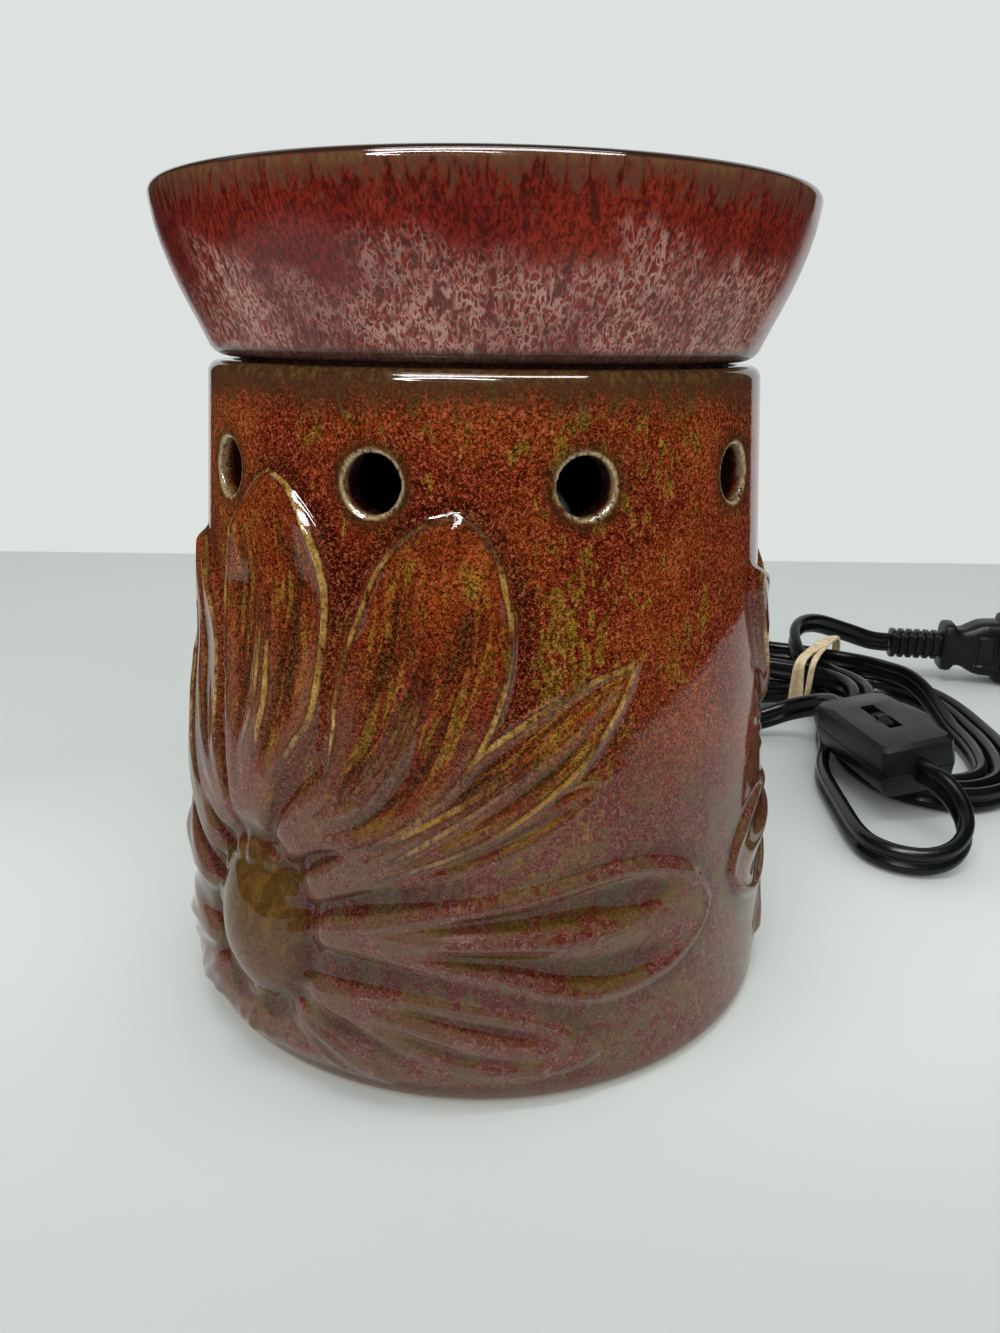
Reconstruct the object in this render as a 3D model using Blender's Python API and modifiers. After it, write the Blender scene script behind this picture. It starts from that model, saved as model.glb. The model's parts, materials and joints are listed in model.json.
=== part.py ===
"""Electric wax warmer: a slip-cast shell with moulded daisies, a loose dish and a lamp inside.

Lengths below are in millimetres; MM turns them into metres. The object stands on z = 0, its axis is
the z axis, and the side with the daisy in view faces -y.
"""
import math

import bmesh
import bpy
import numpy as np
from mathutils import Euler, Matrix, Vector

MM = 0.001

# body shell
BODY_TOP = 123.5
BODY_R_FOOT = 61.3
BODY_R_TOP = 51.9
FOOT_GAP = 0.4
WALL = 5.0
MOUTH_R = 46.9
LEDGE_R = 45.0
LEDGE_Z = (5.4, 10.4)
BODY_COLUMNS = 90
BODY_ROWS = 27
VENT_COUNT = 10
VENT_R = 4.7
VENT_Z = 106.5

# moulded daisies: two, on opposite sides
FLOWER_PHI = -39.0
FLOWER_TURNS = (0.0, 166.0)
FLOWER_Z = 29.0
DISC_HALF = (11.0, 15.0)
DISC_RISE = 6.6
MOUND = 2.9
# stations of each petal's middle line as (across, above, half width), from root to tip, then how far it
# stands proud at its root and at its tip; later petals lie over earlier ones
PETALS = (
    (((8, 9, 2), (26, 17, 4.5), (42, 23, 5.5), (54, 27.5, 3.6), (63, 31.5, 0.6)), 0.9, 0.2),
    (((-7, 8, 2), (-24, 15, 4.5), (-38, 20, 5.5), (-50, 24, 3.6), (-58, 28, 0.6)), 0.9, 0.2),
    (((7, -8, 2.5), (23, -10, 5), (39, -14.5, 7), (52, -17.8, 6), (60, -19.6, 3.4), (64, -20.6, 0.6)),
     1.7, 0.6),
    (((-7, -8, 2.5), (-22, -10, 5), (-36, -15, 7), (-48, -18, 6), (-60, -20, 0.6)), 1.7, 0.8),
    (((6, -10, 2.5), (15, -16.5, 4.5), (22, -21, 5), (29, -26, 0.6)), 1.6, 0.7),
    (((-6, -11, 2.5), (-14, -17, 4.5), (-20, -22, 5), (-27, -27, 0.6)), 1.6, 0.7),
    (((0, -13, 3), (-1, -20, 5), (-2, -30, 5)), 1.4, 1.0),
    (((9, 8, 2.5), (22, 17, 4.4), (37, 27, 7.2), (50, 36.5, 7.2), (58, 43.5, 5), (62, 47, 2.6),
      (64.4, 49.6, 0.6)), 2.0, 0.5),
    (((-9, 8, 2.5), (-19, 18, 4.6), (-32, 30, 7.4), (-44, 42, 8.4), (-53, 51, 6.5), (-58, 56.5, 3.4),
      (-60, 59, 0.6)), 2.0, 2.4),
    (((9, 1, 3), (22, 4, 5), (44, 3.7, 8.3), (58, 2.5, 12.3), (68, 2, 12.8), (78, 1.3, 10.6), (84, 1, 6.8),
      (86.6, 1.2, 3.4), (87.8, 1.4, 0.6)), 2.2, 0.6),
    (((-9, 1, 3), (-22, 4, 5), (-40, 4, 8.3), (-54, 3, 11.5), (-64, 3, 11), (-72, 3, 6.8), (-76, 3, 0.6)),
     2.4, 0.8),
    (((4, 13, 2.5), (11, 21, 5), (19.6, 26.6, 8), (24.8, 34.2, 11.5), (27.4, 41.2, 13.3), (29.4, 48.7, 13.8),
      (30.5, 54.3, 13.2), (31.3, 61.5, 11.5), (32.4, 67.4, 8.8), (33.2, 71.4, 5.2), (33.5, 73.6, 0.6)),
     2.2, 0.5),
    (((-4, 13, 2.5), (-11, 21, 5), (-18.6, 27, 8), (-23, 34, 11), (-25.6, 41, 12.8), (-27.6, 48, 12.6),
      (-29, 54, 10.8), (-30, 59.5, 7.4), (-30.6, 62.6, 4), (-31, 64.4, 0.6)), 2.2, 0.8),
    (((0, 13, 2.5), (-0.9, 21, 5.3), (-1.7, 29, 7.5), (-0.4, 37.6, 10.3), (0.5, 43, 12.1), (0.4, 55, 13.3),
      (0.7, 61, 12.8), (0.1, 69, 10.3), (-0.2, 74.6, 6.6), (-0.4, 77.2, 3.6), (-0.5, 78.4, 0.6)), 2.4, 0.6),
)

# dish
DISH_TOP = 152.0
DISH_FLOOR = 130.6
DISH_SEAT = 123.9

# lamp holder on its bridge
PLATE_R = 51.5
PLATE_Z = (3.9, 5.1)
BRIDGE_Z = (10.7, 12.2)
SCREW_X = 30.0
NIPPLE_R = 5.0
SOCKET_Z = (17.4, 56.0)
SOCKET_R = 12.5
TERMINAL_Z = 24.0

# flat twin lead
CORD_THICK = 3.8
CORD_WIDE = 7.4
CORD_SIDES = 8
CORD_REST = CORD_WIDE / 2 + 0.2

# hank: a closed course for one loop, seen from above, and how its loops lie
LOOP = (
    (116, 97), (120, 113), (121, 127), (114, 138), (100, 143), (84, 144), (68, 147), (55, 156),
    (55, 171), (66, 182), (82, 184), (99, 177), (113, 166), (127, 156), (146, 147), (158, 130),
    (161, 105), (158, 81), (151, 66), (137, 59), (123, 65), (116, 80),
)
HANK_END = 3.10
HANK_STEP = 4.8
HANK_POINTS = 32
WAIST = (121.0, 147.0)
WAIST_IN = 30.0
WAIST_OUT = 58.0
WAIST_LIFT = 2.0
WAIST_COLUMN = (0.4, -4.4, 0.4, -4.4)
WAIST_LAYER = (0, 0, 1, 1)
LAYER_RISE = 7.9

# in-line switch: centre of its underside, turned and leaning on the loops
SWITCH_AT = (117.0, 70.0, 8.2)
SWITCH_YAW = -79.8
SWITCH_LEAN = 8.0
SWITCH_LONG = 42.0
SWITCH_WIDE = 22.0
SWITCH_HIGH = 16.0
WHEEL_R = 7.2
WHEEL_Z = 9.4

# plug, standing on the edge of its flange
PLUG_AT = (158.3, 178.4, 13.9)
PLUG_YAW = -7.5

parts = bpy.data.collections.new("wax_warmer")
cutters = bpy.data.collections.new("cutters")


def clear():
    for ob in list(bpy.data.objects):
        bpy.data.objects.remove(ob, do_unlink=True)
    bpy.context.scene.collection.children.link(parts)
    bpy.context.scene.collection.children.link(cutters)
    cutters.hide_render = True


def material(name, rgb, rough, metal=0.0):
    m = bpy.data.materials.new(name)
    m.use_nodes = True
    b = m.node_tree.nodes["Principled BSDF"]
    b.inputs["Base Color"].default_value = (*rgb, 1.0)
    b.inputs["Roughness"].default_value = rough
    b.inputs["Metallic"].default_value = metal
    m.diffuse_color = (*rgb, 1.0)
    return m


def place(name, data, mat, where=None):
    ob = bpy.data.objects.new(name, data)
    (where or parts).objects.link(ob)
    if mat is not None:
        ob.data.materials.append(mat)
    if where is cutters:
        ob.hide_render = True
        ob.display_type = "WIRE"
    return ob


def from_bmesh(name, bm, mat, where=None):
    bmesh.ops.recalc_face_normals(bm, faces=bm.faces)
    me = bpy.data.meshes.new(name)
    bm.to_mesh(me)
    bm.free()
    return place(name, me, mat, where)


def lathe(name, profile, steps, mat, closed=False, at=(0, 0, 0), where=None):
    """Turn a profile of (radius, height) pairs about the z axis."""
    bm = bmesh.new()
    row = [bm.verts.new((r * MM, 0, z * MM)) for r, z in profile]
    for a, b in zip(row, row[1:]):
        bm.edges.new((a, b))
    if closed:
        bm.edges.new((row[-1], row[0]))
    me = bpy.data.meshes.new(name)
    bm.to_mesh(me)
    bm.free()
    ob = place(name, me, mat, where)
    ob.location = Vector(at) * MM
    sc = ob.modifiers.new("turn", "SCREW")
    sc.steps = steps
    sc.render_steps = steps
    sc.use_merge_vertices = True
    sc.merge_threshold = 0.00002
    return ob


def fixed(ob):
    """Replace an object's modifiers by the mesh they give."""
    dg = bpy.context.evaluated_depsgraph_get()
    me = bpy.data.meshes.new_from_object(ob.evaluated_get(dg))
    ob.modifiers.clear()
    old = ob.data
    ob.data = me
    if isinstance(old, bpy.types.Mesh):
        bpy.data.meshes.remove(old)
    return ob


def cylinder(name, r, depth, at, mat, axis="z", sides=20, where=None):
    bm = bmesh.new()
    bmesh.ops.create_cone(bm, cap_ends=True, segments=sides, radius1=r * MM, radius2=r * MM,
                          depth=depth * MM)
    turn = {"x": (0, math.pi / 2, 0), "y": (math.pi / 2, 0, 0), "z": (0, 0, 0)}[axis]
    bm.transform(Matrix.Translation(Vector(at) * MM) @ Euler(turn).to_matrix().to_4x4())
    return from_bmesh(name, bm, mat, where)


def box(name, size, at, mat, where=None, bevel=0.0):
    bm = bmesh.new()
    bmesh.ops.create_cube(bm, size=1.0)
    bm.transform(Matrix.Translation(Vector(at) * MM) @ Matrix.Diagonal((*[s * MM for s in size], 1)))
    ob = from_bmesh(name, bm, mat, where)
    if bevel:
        bv = ob.modifiers.new("edges", "BEVEL")
        bv.width = bevel * MM
        bv.segments = 1
    return ob


def cut(ob, *tools):
    for tool in tools:
        b = ob.modifiers.new("cut", "BOOLEAN")
        b.operation = "DIFFERENCE"
        b.solver = "EXACT"
        b.object = tool
    return ob


def join(name, pieces, where):
    """One cutter from several closed pieces that lie apart."""
    bm = bmesh.new()
    for p in pieces:
        bm.from_mesh(p.data)
        bpy.data.objects.remove(p, do_unlink=True)
    return from_bmesh(name, bm, None, where)


def loft(name, sections, mat, matrix=None, where=None):
    """Skin over a row of closed sections that have the same number of points."""
    bm = bmesh.new()
    rings = [[bm.verts.new(Vector(p) * MM) for p in s] for s in sections]
    n = len(rings[0])
    for a, b in zip(rings, rings[1:]):
        for k in range(n):
            bm.faces.new((a[k], a[(k + 1) % n], b[(k + 1) % n], b[k]))
    bm.faces.new(rings[0])
    bm.faces.new(rings[-1])
    if matrix is not None:
        bm.transform(matrix)
    return from_bmesh(name, bm, mat, where)


def rounded(half_w, half_h, sides=16, power=0.55):
    """Points of a rounded rectangle."""
    out = []
    for k in range(sides):
        a = 2 * math.pi * (k + 0.5) / sides
        c, s = math.cos(a), math.sin(a)
        out.append((half_w * math.copysign(abs(c) ** power, c), half_h * math.copysign(abs(s) ** power, s)))
    return out


def ease(x):
    x = min(max(x, 0.0), 1.0)
    return x * x * (3 - 2 * x)


def body_radius(z):
    return BODY_R_FOOT + (BODY_R_TOP - BODY_R_FOOT) * z / BODY_TOP


def flower(a, b, petals):
    """Height of one daisy over the shell, at a across and b above its centre."""
    far = math.hypot(a / 1.15, b)
    proud = 0.0
    for mid, root, tip in petals:
        gap = np.hypot(mid[:, 0] - a, mid[:, 1] - b)
        k = int(gap.argmin())
        depth = mid[k, 2] - gap[k]
        if depth < -0.4:
            continue
        s = k / (len(mid) - 1)
        q = gap[k] / max(mid[k, 2], 0.8)
        big = min(max(mid[:, 2].max() / 12.0, 0.4), 1.0)
        edge = ease((depth + 0.4) / (1.1 + 1.2 * (1 - s)))
        lip = math.exp(-((depth - 0.9) / 0.7) ** 2) * ease((s - 0.15) / 0.25)
        hollow = math.exp(-((q - 0.5) / 0.3) ** 2) * ease((s - 0.16) / 0.3) * (0.85 - 0.35 * s)
        up = root + (tip - root) * s ** 0.8 + big * (0.72 * lip - 1.25 * hollow)
        proud += (up - proud) * edge
    high = MOUND * (1 - ease((far - 14) / 56)) + proud
    rho = math.hypot(a / DISC_HALF[0], b / DISC_HALF[1])
    dome = DISC_RISE * max(1 - (rho / 1.25) ** 2, 0.0)
    return max(high * (1 - 0.22 * math.exp(-((rho - 1.12) / 0.16) ** 2)), dome)


def relief(phi, z, petals):
    """Height of the moulded daisies at an angle in degrees from -y and a height."""
    total = 0.0
    for turn in FLOWER_TURNS:
        d = (phi - FLOWER_PHI - turn + 180.0) % 360.0 - 180.0
        total = max(total, flower(math.radians(d) * body_radius(z), z - FLOWER_Z, petals))
    total *= ease((z - 1.5) / 6.0)
    back = abs((phi - 180.0 + 180.0) % 360.0 - 180.0)
    keep = ease((math.radians(back) * 60.0 - 11.0) / 8.0)
    return total * max(keep, ease((z - 18.0) / 8.0))


def make_body(mat):
    rows = [(body_radius(z), z) for z in np.linspace(BODY_TOP - 2.0, 2.8, BODY_ROWS)]
    profile = [(MOUTH_R, BODY_TOP - 1.6), (MOUTH_R + 1.2, BODY_TOP), (BODY_R_TOP - 1.6, BODY_TOP)]
    profile += [(BODY_R_TOP - 0.4, BODY_TOP - 0.7)] + rows
    profile += [(BODY_R_FOOT - 0.3, 1.5), (BODY_R_FOOT - 1.5, FOOT_GAP), (54.4, FOOT_GAP), (53.4, 1.4)]
    profile += [(53.4, LEDGE_Z[0]), (LEDGE_R, LEDGE_Z[0]), (LEDGE_R, LEDGE_Z[1])]
    profile += [(body_radius(10.4) - WALL, LEDGE_Z[1]), (body_radius(66) - WALL, 66.0)]
    ob = fixed(lathe("warmer_body", profile, BODY_COLUMNS, mat, closed=True))
    petals = [(course(stations, 60), root, tip) for stations, root, tip in PETALS]
    for v in ob.data.vertices:
        x, y, z = v.co.x / MM, v.co.y / MM, v.co.z / MM
        r = math.hypot(x, y)
        if r < body_radius(z) - 0.3 or z < 2.0 or z > BODY_TOP - 1.0:
            continue
        grown = (r + relief(math.degrees(math.atan2(x, -y)), z, petals)) / r
        v.co.x *= grown
        v.co.y *= grown
    vents = []
    for k in range(VENT_COUNT):
        turn = Matrix.Rotation(2 * math.pi * (k + 0.5) / VENT_COUNT, 4, "Z")
        hole = cylinder("hole", VENT_R, 24, (0, -body_radius(VENT_Z), VENT_Z), None, "y", 18, cutters)
        hole.data.transform(turn)
        vents.append(hole)
    cut(ob, join("cut_vents", vents, cutters))
    arch = [(6.3 * math.cos(a), 7.4 + 6.3 * math.sin(a)) for a in np.linspace(0, math.pi, 9)]
    arch = [(6.3, -2.0)] + arch + [(-6.3, -2.0)]
    cut(ob, loft("cut_notch", [[(x, y, z) for x, z in arch] for y in (38.0, 75.0)], None, None, cutters))


def make_dish(mat):
    outer = ((59.2, 151.4), (59.9, 150.2), (59.7, 148.4), (59.1, 145.3), (58.3, 142.2), (57.2, 139.0),
             (56.0, 135.9), (54.6, 132.8), (53.1, 129.7), (51.6, 126.6), (50.6, 125.0), (48.8, 124.1))
    profile = [(0, DISH_FLOOR), (36.0, DISH_FLOOR), (43.0, 132.0), (47.6, 136.0), (52.4, 142.5),
               (54.8, 149.6), (55.8, 151.4), (57.4, DISH_TOP)]
    profile += list(outer) + [(46.2, DISH_SEAT), (45.6, 122.6), (45.4, 119.8), (42.2, 119.8)]
    profile += [(41.2, 124.2), (0, 125.0)]
    lathe("melting_dish", profile, 48, mat)


def make_base(steel, zinc, rubber):
    plate = lathe("base_plate", [(0, PLATE_Z[1]), (PLATE_R, PLATE_Z[1]), (PLATE_R, PLATE_Z[0]),
                                 (0, PLATE_Z[0])], 48, steel)
    fixed(plate)
    tools = [cylinder("h", 2.3, 8, (sx * SCREW_X, 0, 4.5), None, "z", 12, cutters) for sx in (-1, 1)]
    for k in range(6):
        slot = box("s", (15, 4, 8), (22, 0, 4.5), None, cutters)
        slot.data.transform(Matrix.Rotation(math.radians(30 + 60 * k), 4, "Z"))
        tools.append(slot)
    cut(plate, join("cut_plate", tools, cutters))
    for k, (sx, sy) in enumerate(((1, 1), (-1, 1), (-1, -1), (1, -1)), 1):
        lathe("foot_%d" % k, [(0, 3.6), (4.4, 3.6), (5.2, 1.2), (4.6, 0.0), (0, 0.0)], 14, rubber,
              at=(28 * sx, 28 * sy, 0))
    bridge = box("clamp_bridge", (100, 18, BRIDGE_Z[1] - BRIDGE_Z[0]), (0, 0, sum(BRIDGE_Z) / 2), zinc)
    tools = [cylinder("h", 2.2, 8, (sx * SCREW_X, 0, 11.5), None, "z", 12, cutters) for sx in (-1, 1)]
    tools.append(cylinder("h", NIPPLE_R + 0.3, 8, (0, 0, 11.5), None, "z", 16, cutters))
    cut(bridge, join("cut_bridge", tools, cutters))
    for side, sx in (("left", -1), ("right", 1)):
        lathe("clamp_screw_" + side, [(0, 15.5), (1.8, 15.5), (1.8, 3.6), (3.6, 3.6), (3.4, 2.2),
                                      (2.0, 1.5), (0, 1.5)], 12, zinc, at=(sx * SCREW_X, 0, 0))


def make_socket(black, brass, zinc, steel):
    tube = [(NIPPLE_R, 26.0), (NIPPLE_R, 6.6), (3.5, 6.6), (3.5, 26.0)]
    lathe("socket_nipple", tube, 16, zinc, closed=True)
    for name, z0 in (("nipple_nut_lower", 7.1), ("nipple_nut_upper", 13.9)):
        ring = [(8.6, z0 + 3.3), (8.6, z0), (NIPPLE_R + 0.3, z0), (NIPPLE_R + 0.3, z0 + 3.3)]
        lathe(name, ring, 6, zinc, closed=True)
    for name in ("nipple_nut_lower", "nipple_nut_upper"):
        ob = bpy.data.objects[name]
        me = ob.data
        for v in me.vertices:
            if v.co.x < 0.007:
                v.co.x = (NIPPLE_R + 0.3) / math.cos(math.pi / 6) * MM
    lathe("lock_washer", [(8.2, 13.6), (8.2, 12.5), (5.4, 12.5), (5.4, 13.6)], 16, steel, closed=True)
    body = [(9.6, SOCKET_Z[1]), (SOCKET_R - 0.8, SOCKET_Z[1]), (SOCKET_R, SOCKET_Z[1] - 0.8),
            (SOCKET_R, SOCKET_Z[0] + 1), (SOCKET_R - 1, SOCKET_Z[0]), (5.4, SOCKET_Z[0]), (5.4, 26.5),
            (0, 26.5)]
    lathe("socket_body", [(0, 29.0), (9.6, 29.0)] + body, 24, black)
    shell = [(9.2, 54.0), (9.2, 33.0), (8.7, 33.0), (8.7, 54.0)]
    lathe("socket_shell", shell, 24, brass, closed=True)
    strip = ((-7, 29.3), (3, 29.3), (6, 31.3), (-1, 32.2), (-1, 31.7), (4.6, 31.0), (2.6, 29.8), (-7, 29.8))
    loft("socket_contact", [[(x, y, z) for x, z in strip] for y in (-2.0, 2.0)], brass)
    for name, sx in (("terminal_screw_line", 1), ("terminal_screw_neutral", -1)):
        ob = lathe(name, [(0, 2.0), (2.2, 2.0), (3.0, 1.2), (3.0, 0.0), (0, 0.0)], 12, brass)
        ob.rotation_euler = (0, sx * math.pi / 2, 0)
        ob.location = Vector((sx * (SOCKET_R + 0.3), 0, TERMINAL_Z)) * MM


def make_lamp(glass, brass, black, tungsten, clear_glass):
    outer = ((0, 104.4), (6, 103.6), (12, 101), (16.4, 96.4), (19, 91), (20, 84), (19, 76), (16, 69),
             (11, 63), (7.6, 59), (7.2, 56), (7.2, 50.0))
    inner = ((6.3, 50.0), (6.3, 56.4), (10, 63.6), (15, 69.8), (18, 76.6), (18.9, 84), (18, 90.6),
             (15.4, 95.7), (11.4, 100), (5.6, 102.5), (0, 103.3))
    lathe("bulb_glass", outer + inner, 18, glass)
    cap = [(8.1, 56.6)]
    for k in range(5):
        z = 54.6 - 3.4 * k
        cap += [(8.3, z), (7.9, z - 1.7)]
    cap += [(6.9, 36.8), (6.3, 36.8), (7.5, 39.0), (7.5, 56.6)]
    lathe("bulb_cap", cap, 16, brass, closed=True)
    lathe("bulb_insulator", [(0, 36.4), (6.4, 36.4), (3.6, 34.8), (0, 34.8)], 16, black)
    lathe("bulb_tip", [(0, 34.5), (2.6, 34.5), (1.8, 33.0), (0, 32.6)], 12, brass)
    lathe("bulb_stem", [(0, 74), (1.4, 74), (2.4, 70), (2.4, 58), (5.8, 51), (5.8, 50), (0, 50)], 12,
          clear_glass)
    wave = [(-3.2, 0, 71), (-4.5, 0, 76), (-9, 0, 86)]
    wave += [(-9 + 1.8 * k, 2.2 * math.sin(math.pi * k / 5), 87.5 + 0.8 * (k % 2)) for k in range(1, 10)]
    wave += [(9, 0, 86), (4.5, 0, 76), (3.2, 0, 71)]
    tube("bulb_filament", wave, 0.35, tungsten, 1)


def tube(name, points, r, mat, res=2, cyclic=False):
    cu = bpy.data.curves.new(name, "CURVE")
    cu.dimensions = "3D"
    cu.bevel_depth = r * MM
    cu.bevel_resolution = res
    cu.render_resolution_u = 0
    cu.use_fill_caps = not cyclic
    sp = cu.splines.new("POLY")
    sp.points.add(len(points) - 1)
    for p, q in zip(sp.points, points):
        p.co = (q[0] * MM, q[1] * MM, q[2] * MM, 1)
    sp.use_cyclic_u = cyclic
    return place(name, cu, mat)


def bridged(a, b, c, d, t):
    """A point between b and c of a smooth curve through a, b, c and d."""
    a, b, c, d = (np.array(q, float) for q in (a, b, c, d))
    return 0.5 * (2 * b + (c - a) * t + (2 * a - 5 * b + 4 * c - d) * t * t + (3 * b - a - 3 * c + d) * t ** 3)


def course(route, count, closed=False):
    """Points evenly spaced along a smooth curve through a route."""
    r = [np.array(p, float) for p in route]
    r = [r[-1]] + r + [r[0], r[1]] if closed else [2 * r[0] - r[1]] + r + [2 * r[-1] - r[-2]]
    fine = [bridged(*r[i - 1:i + 3], k / 30) for i in range(1, len(r) - 2) for k in range(30)]
    fine.append(r[-2])
    fine = np.array(fine)
    run = np.concatenate([[0], np.cumsum(np.linalg.norm(np.diff(fine, axis=0), axis=1))])
    at = np.linspace(0, run[-1], count)
    return np.stack([np.interp(at, run, fine[:, k]) for k in range(fine.shape[1])], 1)


def hank_points(per_turn):
    """The course of the hank: loops side by side, gathered in two layers at the waist."""
    many = per_turn * 20
    base = course(LOOP, many + 1, closed=True)[:-1]
    head = np.roll(base, -1, 0) - np.roll(base, 1, 0)
    head /= np.linalg.norm(head, axis=1)[:, None]
    out = np.stack([head[:, 1], -head[:, 0]], 1)
    around = np.sum(base[:, 0] * np.roll(base[:, 1], -1) - np.roll(base[:, 0], -1) * base[:, 1])
    out *= math.copysign(1.0, around)
    points = []
    for k in range(int(round(HANK_END * per_turn)) + 1):
        turn = k / per_turn
        i = int(round((turn % 1.0) * many)) % many
        near = math.hypot(base[i, 0] - WAIST[0], base[i, 1] - WAIST[1])
        gather = ease((WAIST_IN - near) / (WAIST_IN - 8.0))
        climb = ease((WAIST_OUT - near) / (WAIST_OUT - WAIST_IN))
        n = int(turn + 1e-9)
        aside = (1 - gather) * HANK_STEP * (1.5 - turn) + gather * WAIST_COLUMN[n]
        z = CORD_REST + climb * (WAIST_LIFT + WAIST_LAYER[n] * LAYER_RISE)
        points.append((base[i, 0] + out[i, 0] * aside, base[i, 1] + out[i, 1] * aside, z))
    return np.array(points)


def flat_rings(points):
    head = np.gradient(points, axis=0)
    head /= np.linalg.norm(head, axis=1)[:, None]
    side = np.cross(head, (0.0, 0.0, 1.0))
    side /= np.linalg.norm(side, axis=1)[:, None]
    up = np.cross(side, head)
    a = np.linspace(0, 2 * math.pi, 12, endpoint=False)
    ring = side[:, None] * (CORD_THICK / 2 * np.cos(a))[None, :, None]
    return points[:, None] + ring + up[:, None] * (CORD_WIDE / 2 * np.sin(a))[None, :, None]


def least_gap(points):
    """Least distance between stretches of one flat lead, measured on points of its skin."""
    run = np.concatenate([[0], np.cumsum(np.linalg.norm(np.diff(points, axis=0), axis=1))])
    at = np.arange(0, run[-1], 1.5)
    line = np.stack([np.interp(at, run, points[:, k]) for k in range(3)], 1)
    skin = flat_rings(line)
    least = 1e9
    for i in range(len(line)):
        far = np.arange(i + 10, len(line))
        far = far[np.linalg.norm(line[far] - line[i], axis=1) < 12.0]
        if len(far):
            least = min(least, np.linalg.norm(skin[i][:, None, None] - skin[far][None], axis=3).min())
    return least, run[-1]


def flat_section():
    """The section of the lead: two round cores side by side in one jacket."""
    cu = bpy.data.curves.new("lead_section", "CURVE")
    cu.dimensions = "2D"
    sp = cu.splines.new("POLY")
    sp.points.add(CORD_SIDES - 1)
    for p, (x, y) in zip(sp.points, reversed(rounded(CORD_THICK / 2, CORD_WIDE / 2, CORD_SIDES, 0.8))):
        p.co = (x * MM, y * MM, 0, 1)
    sp.use_cyclic_u = True
    return place("lead_section", cu, None, cutters)


def flat_lead(name, points, section, mat):
    ob = tube(name, points, 0.0, mat)
    cu = ob.data
    cu.bevel_mode = "OBJECT"
    cu.bevel_object = section
    cu.twist_mode = "Z_UP"
    return ob


def make_cord(black, rubber, tan):
    section = flat_section()
    hank = hank_points(HANK_POINTS)
    gap, run = least_gap(hank_points(96))
    print("hank: least gap to itself %.2f mm, length %.0f mm" % (gap, run))
    flat_lead("cord_hank", hank, section, black)
    # back of the body to the switch: along the table and up over the strands
    into = switch_matrix() @ (Vector((-SWITCH_LONG / 2 - 0.4, 0, 8)) * MM) / MM
    back = switch_matrix().to_3x3() @ Vector((-1, 0, 0))
    lead = [(0, 88.3, 7.4), (0, 98, 7.0), (4, 110, 5.4), (16, 121, CORD_REST), (34, 123, CORD_REST),
            (55, 118, CORD_REST), (75, 113, CORD_REST), (90, 112.5, 5.6), (101, 112, 9.6), (108, 106.5, 13.6)]
    lead += [tuple(into + back * 9), tuple(into + back * 4), tuple(into)]
    flat_lead("cord_lead", course(lead, 36), section, black)
    # switch to the hank: the loop in front
    out = switch_matrix() @ (Vector((SWITCH_LONG / 2 + 0.4, 0, 8)) * MM) / MM
    ahead = switch_matrix().to_3x3() @ Vector((1, 0, 0))
    first = Vector(hank[0])
    head = (first - Vector(hank[1])).normalized()
    head.z = 0.0
    loop = [tuple(out), tuple(out + ahead * 4), (122, 42, 15.6), (124.2, 37.5, 13.4), (124.8, 32, 10.4),
            (123, 26.5, 7.4), (118, 21.7, 5.2), (111.5, 20, 4.1), (105, 21.7, CORD_REST),
            (100.2, 26.5, CORD_REST), (98.5, 33.5, CORD_REST), (98.8, 47, CORD_REST), (100.8, 72, CORD_REST)]
    loop += [tuple(first + head * 8.4 - Vector((0, 0, 0.4))), tuple(first + head * 4.4), tuple(first + head * 0.4)]
    flat_lead("cord_front_loop", course(loop, 36), section, black)
    # hank to the plug: back over the far strands
    last = Vector(hank[-1])
    head = (last - Vector(hank[-2])).normalized()
    plug = Vector(PLUG_AT)
    inward = Matrix.Rotation(math.radians(PLUG_YAW), 3, "Z") @ Vector((-1, 0, 0))
    tail = [tuple(last + head * 0.4), tuple(last + head * 4.4), (114.9, 148.5, 15.4), (113.8, 156.5, 19.8),
            (115.8, 163.8, 22.5), (120.6, 170, 23.4), (128.2, 175.6, 22.2), (138, 179, 18.6),
            (147.5, 180.2, 15.4)]
    tail += [tuple(plug + inward * 7.9), tuple(plug + inward * 4.2), tuple(plug + inward * 0.4)]
    flat_lead("cord_plug_lead", course(tail, 30), section, black)
    # strain relief in the notch of the foot: neck, flange, tapered sleeve
    rows = ((52.3, 5.2, 5.4), (53.0, 5.5, 5.6), (62.2, 5.5, 5.6), (62.3, 8.4, 6.8), (64.4, 8.4, 6.8),
            (65.0, 7.2, 6.0), (65.1, 4.7, 5.7), (70, 4.2, 5.5), (79, 3.5, 5.1), (87.9, 2.9, 4.7))
    loft("cord_bushing", [[(x, y, z + 7.4) for x, z in rounded(w, h, 16, 0.8)] for y, w, h in rows], rubber)
    # rubber band round the waist
    cross = Vector((0.39, 0.92)).normalized()
    band = []
    for x, z in rounded(17.9, 10.0, 28, 0.38):
        at = Vector(WAIST) + cross * (x - 0.65)
        band.append((at.x, at.y, 10.7 + z))
    tube("rubber_band", band, 0.55, tan, 1, cyclic=True)


def switch_matrix():
    turn = Matrix.Rotation(math.radians(SWITCH_YAW), 4, "Z") @ Matrix.Rotation(math.radians(SWITCH_LEAN), 4, "X")
    return Matrix.Translation(Vector(SWITCH_AT) * MM) @ turn


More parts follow.
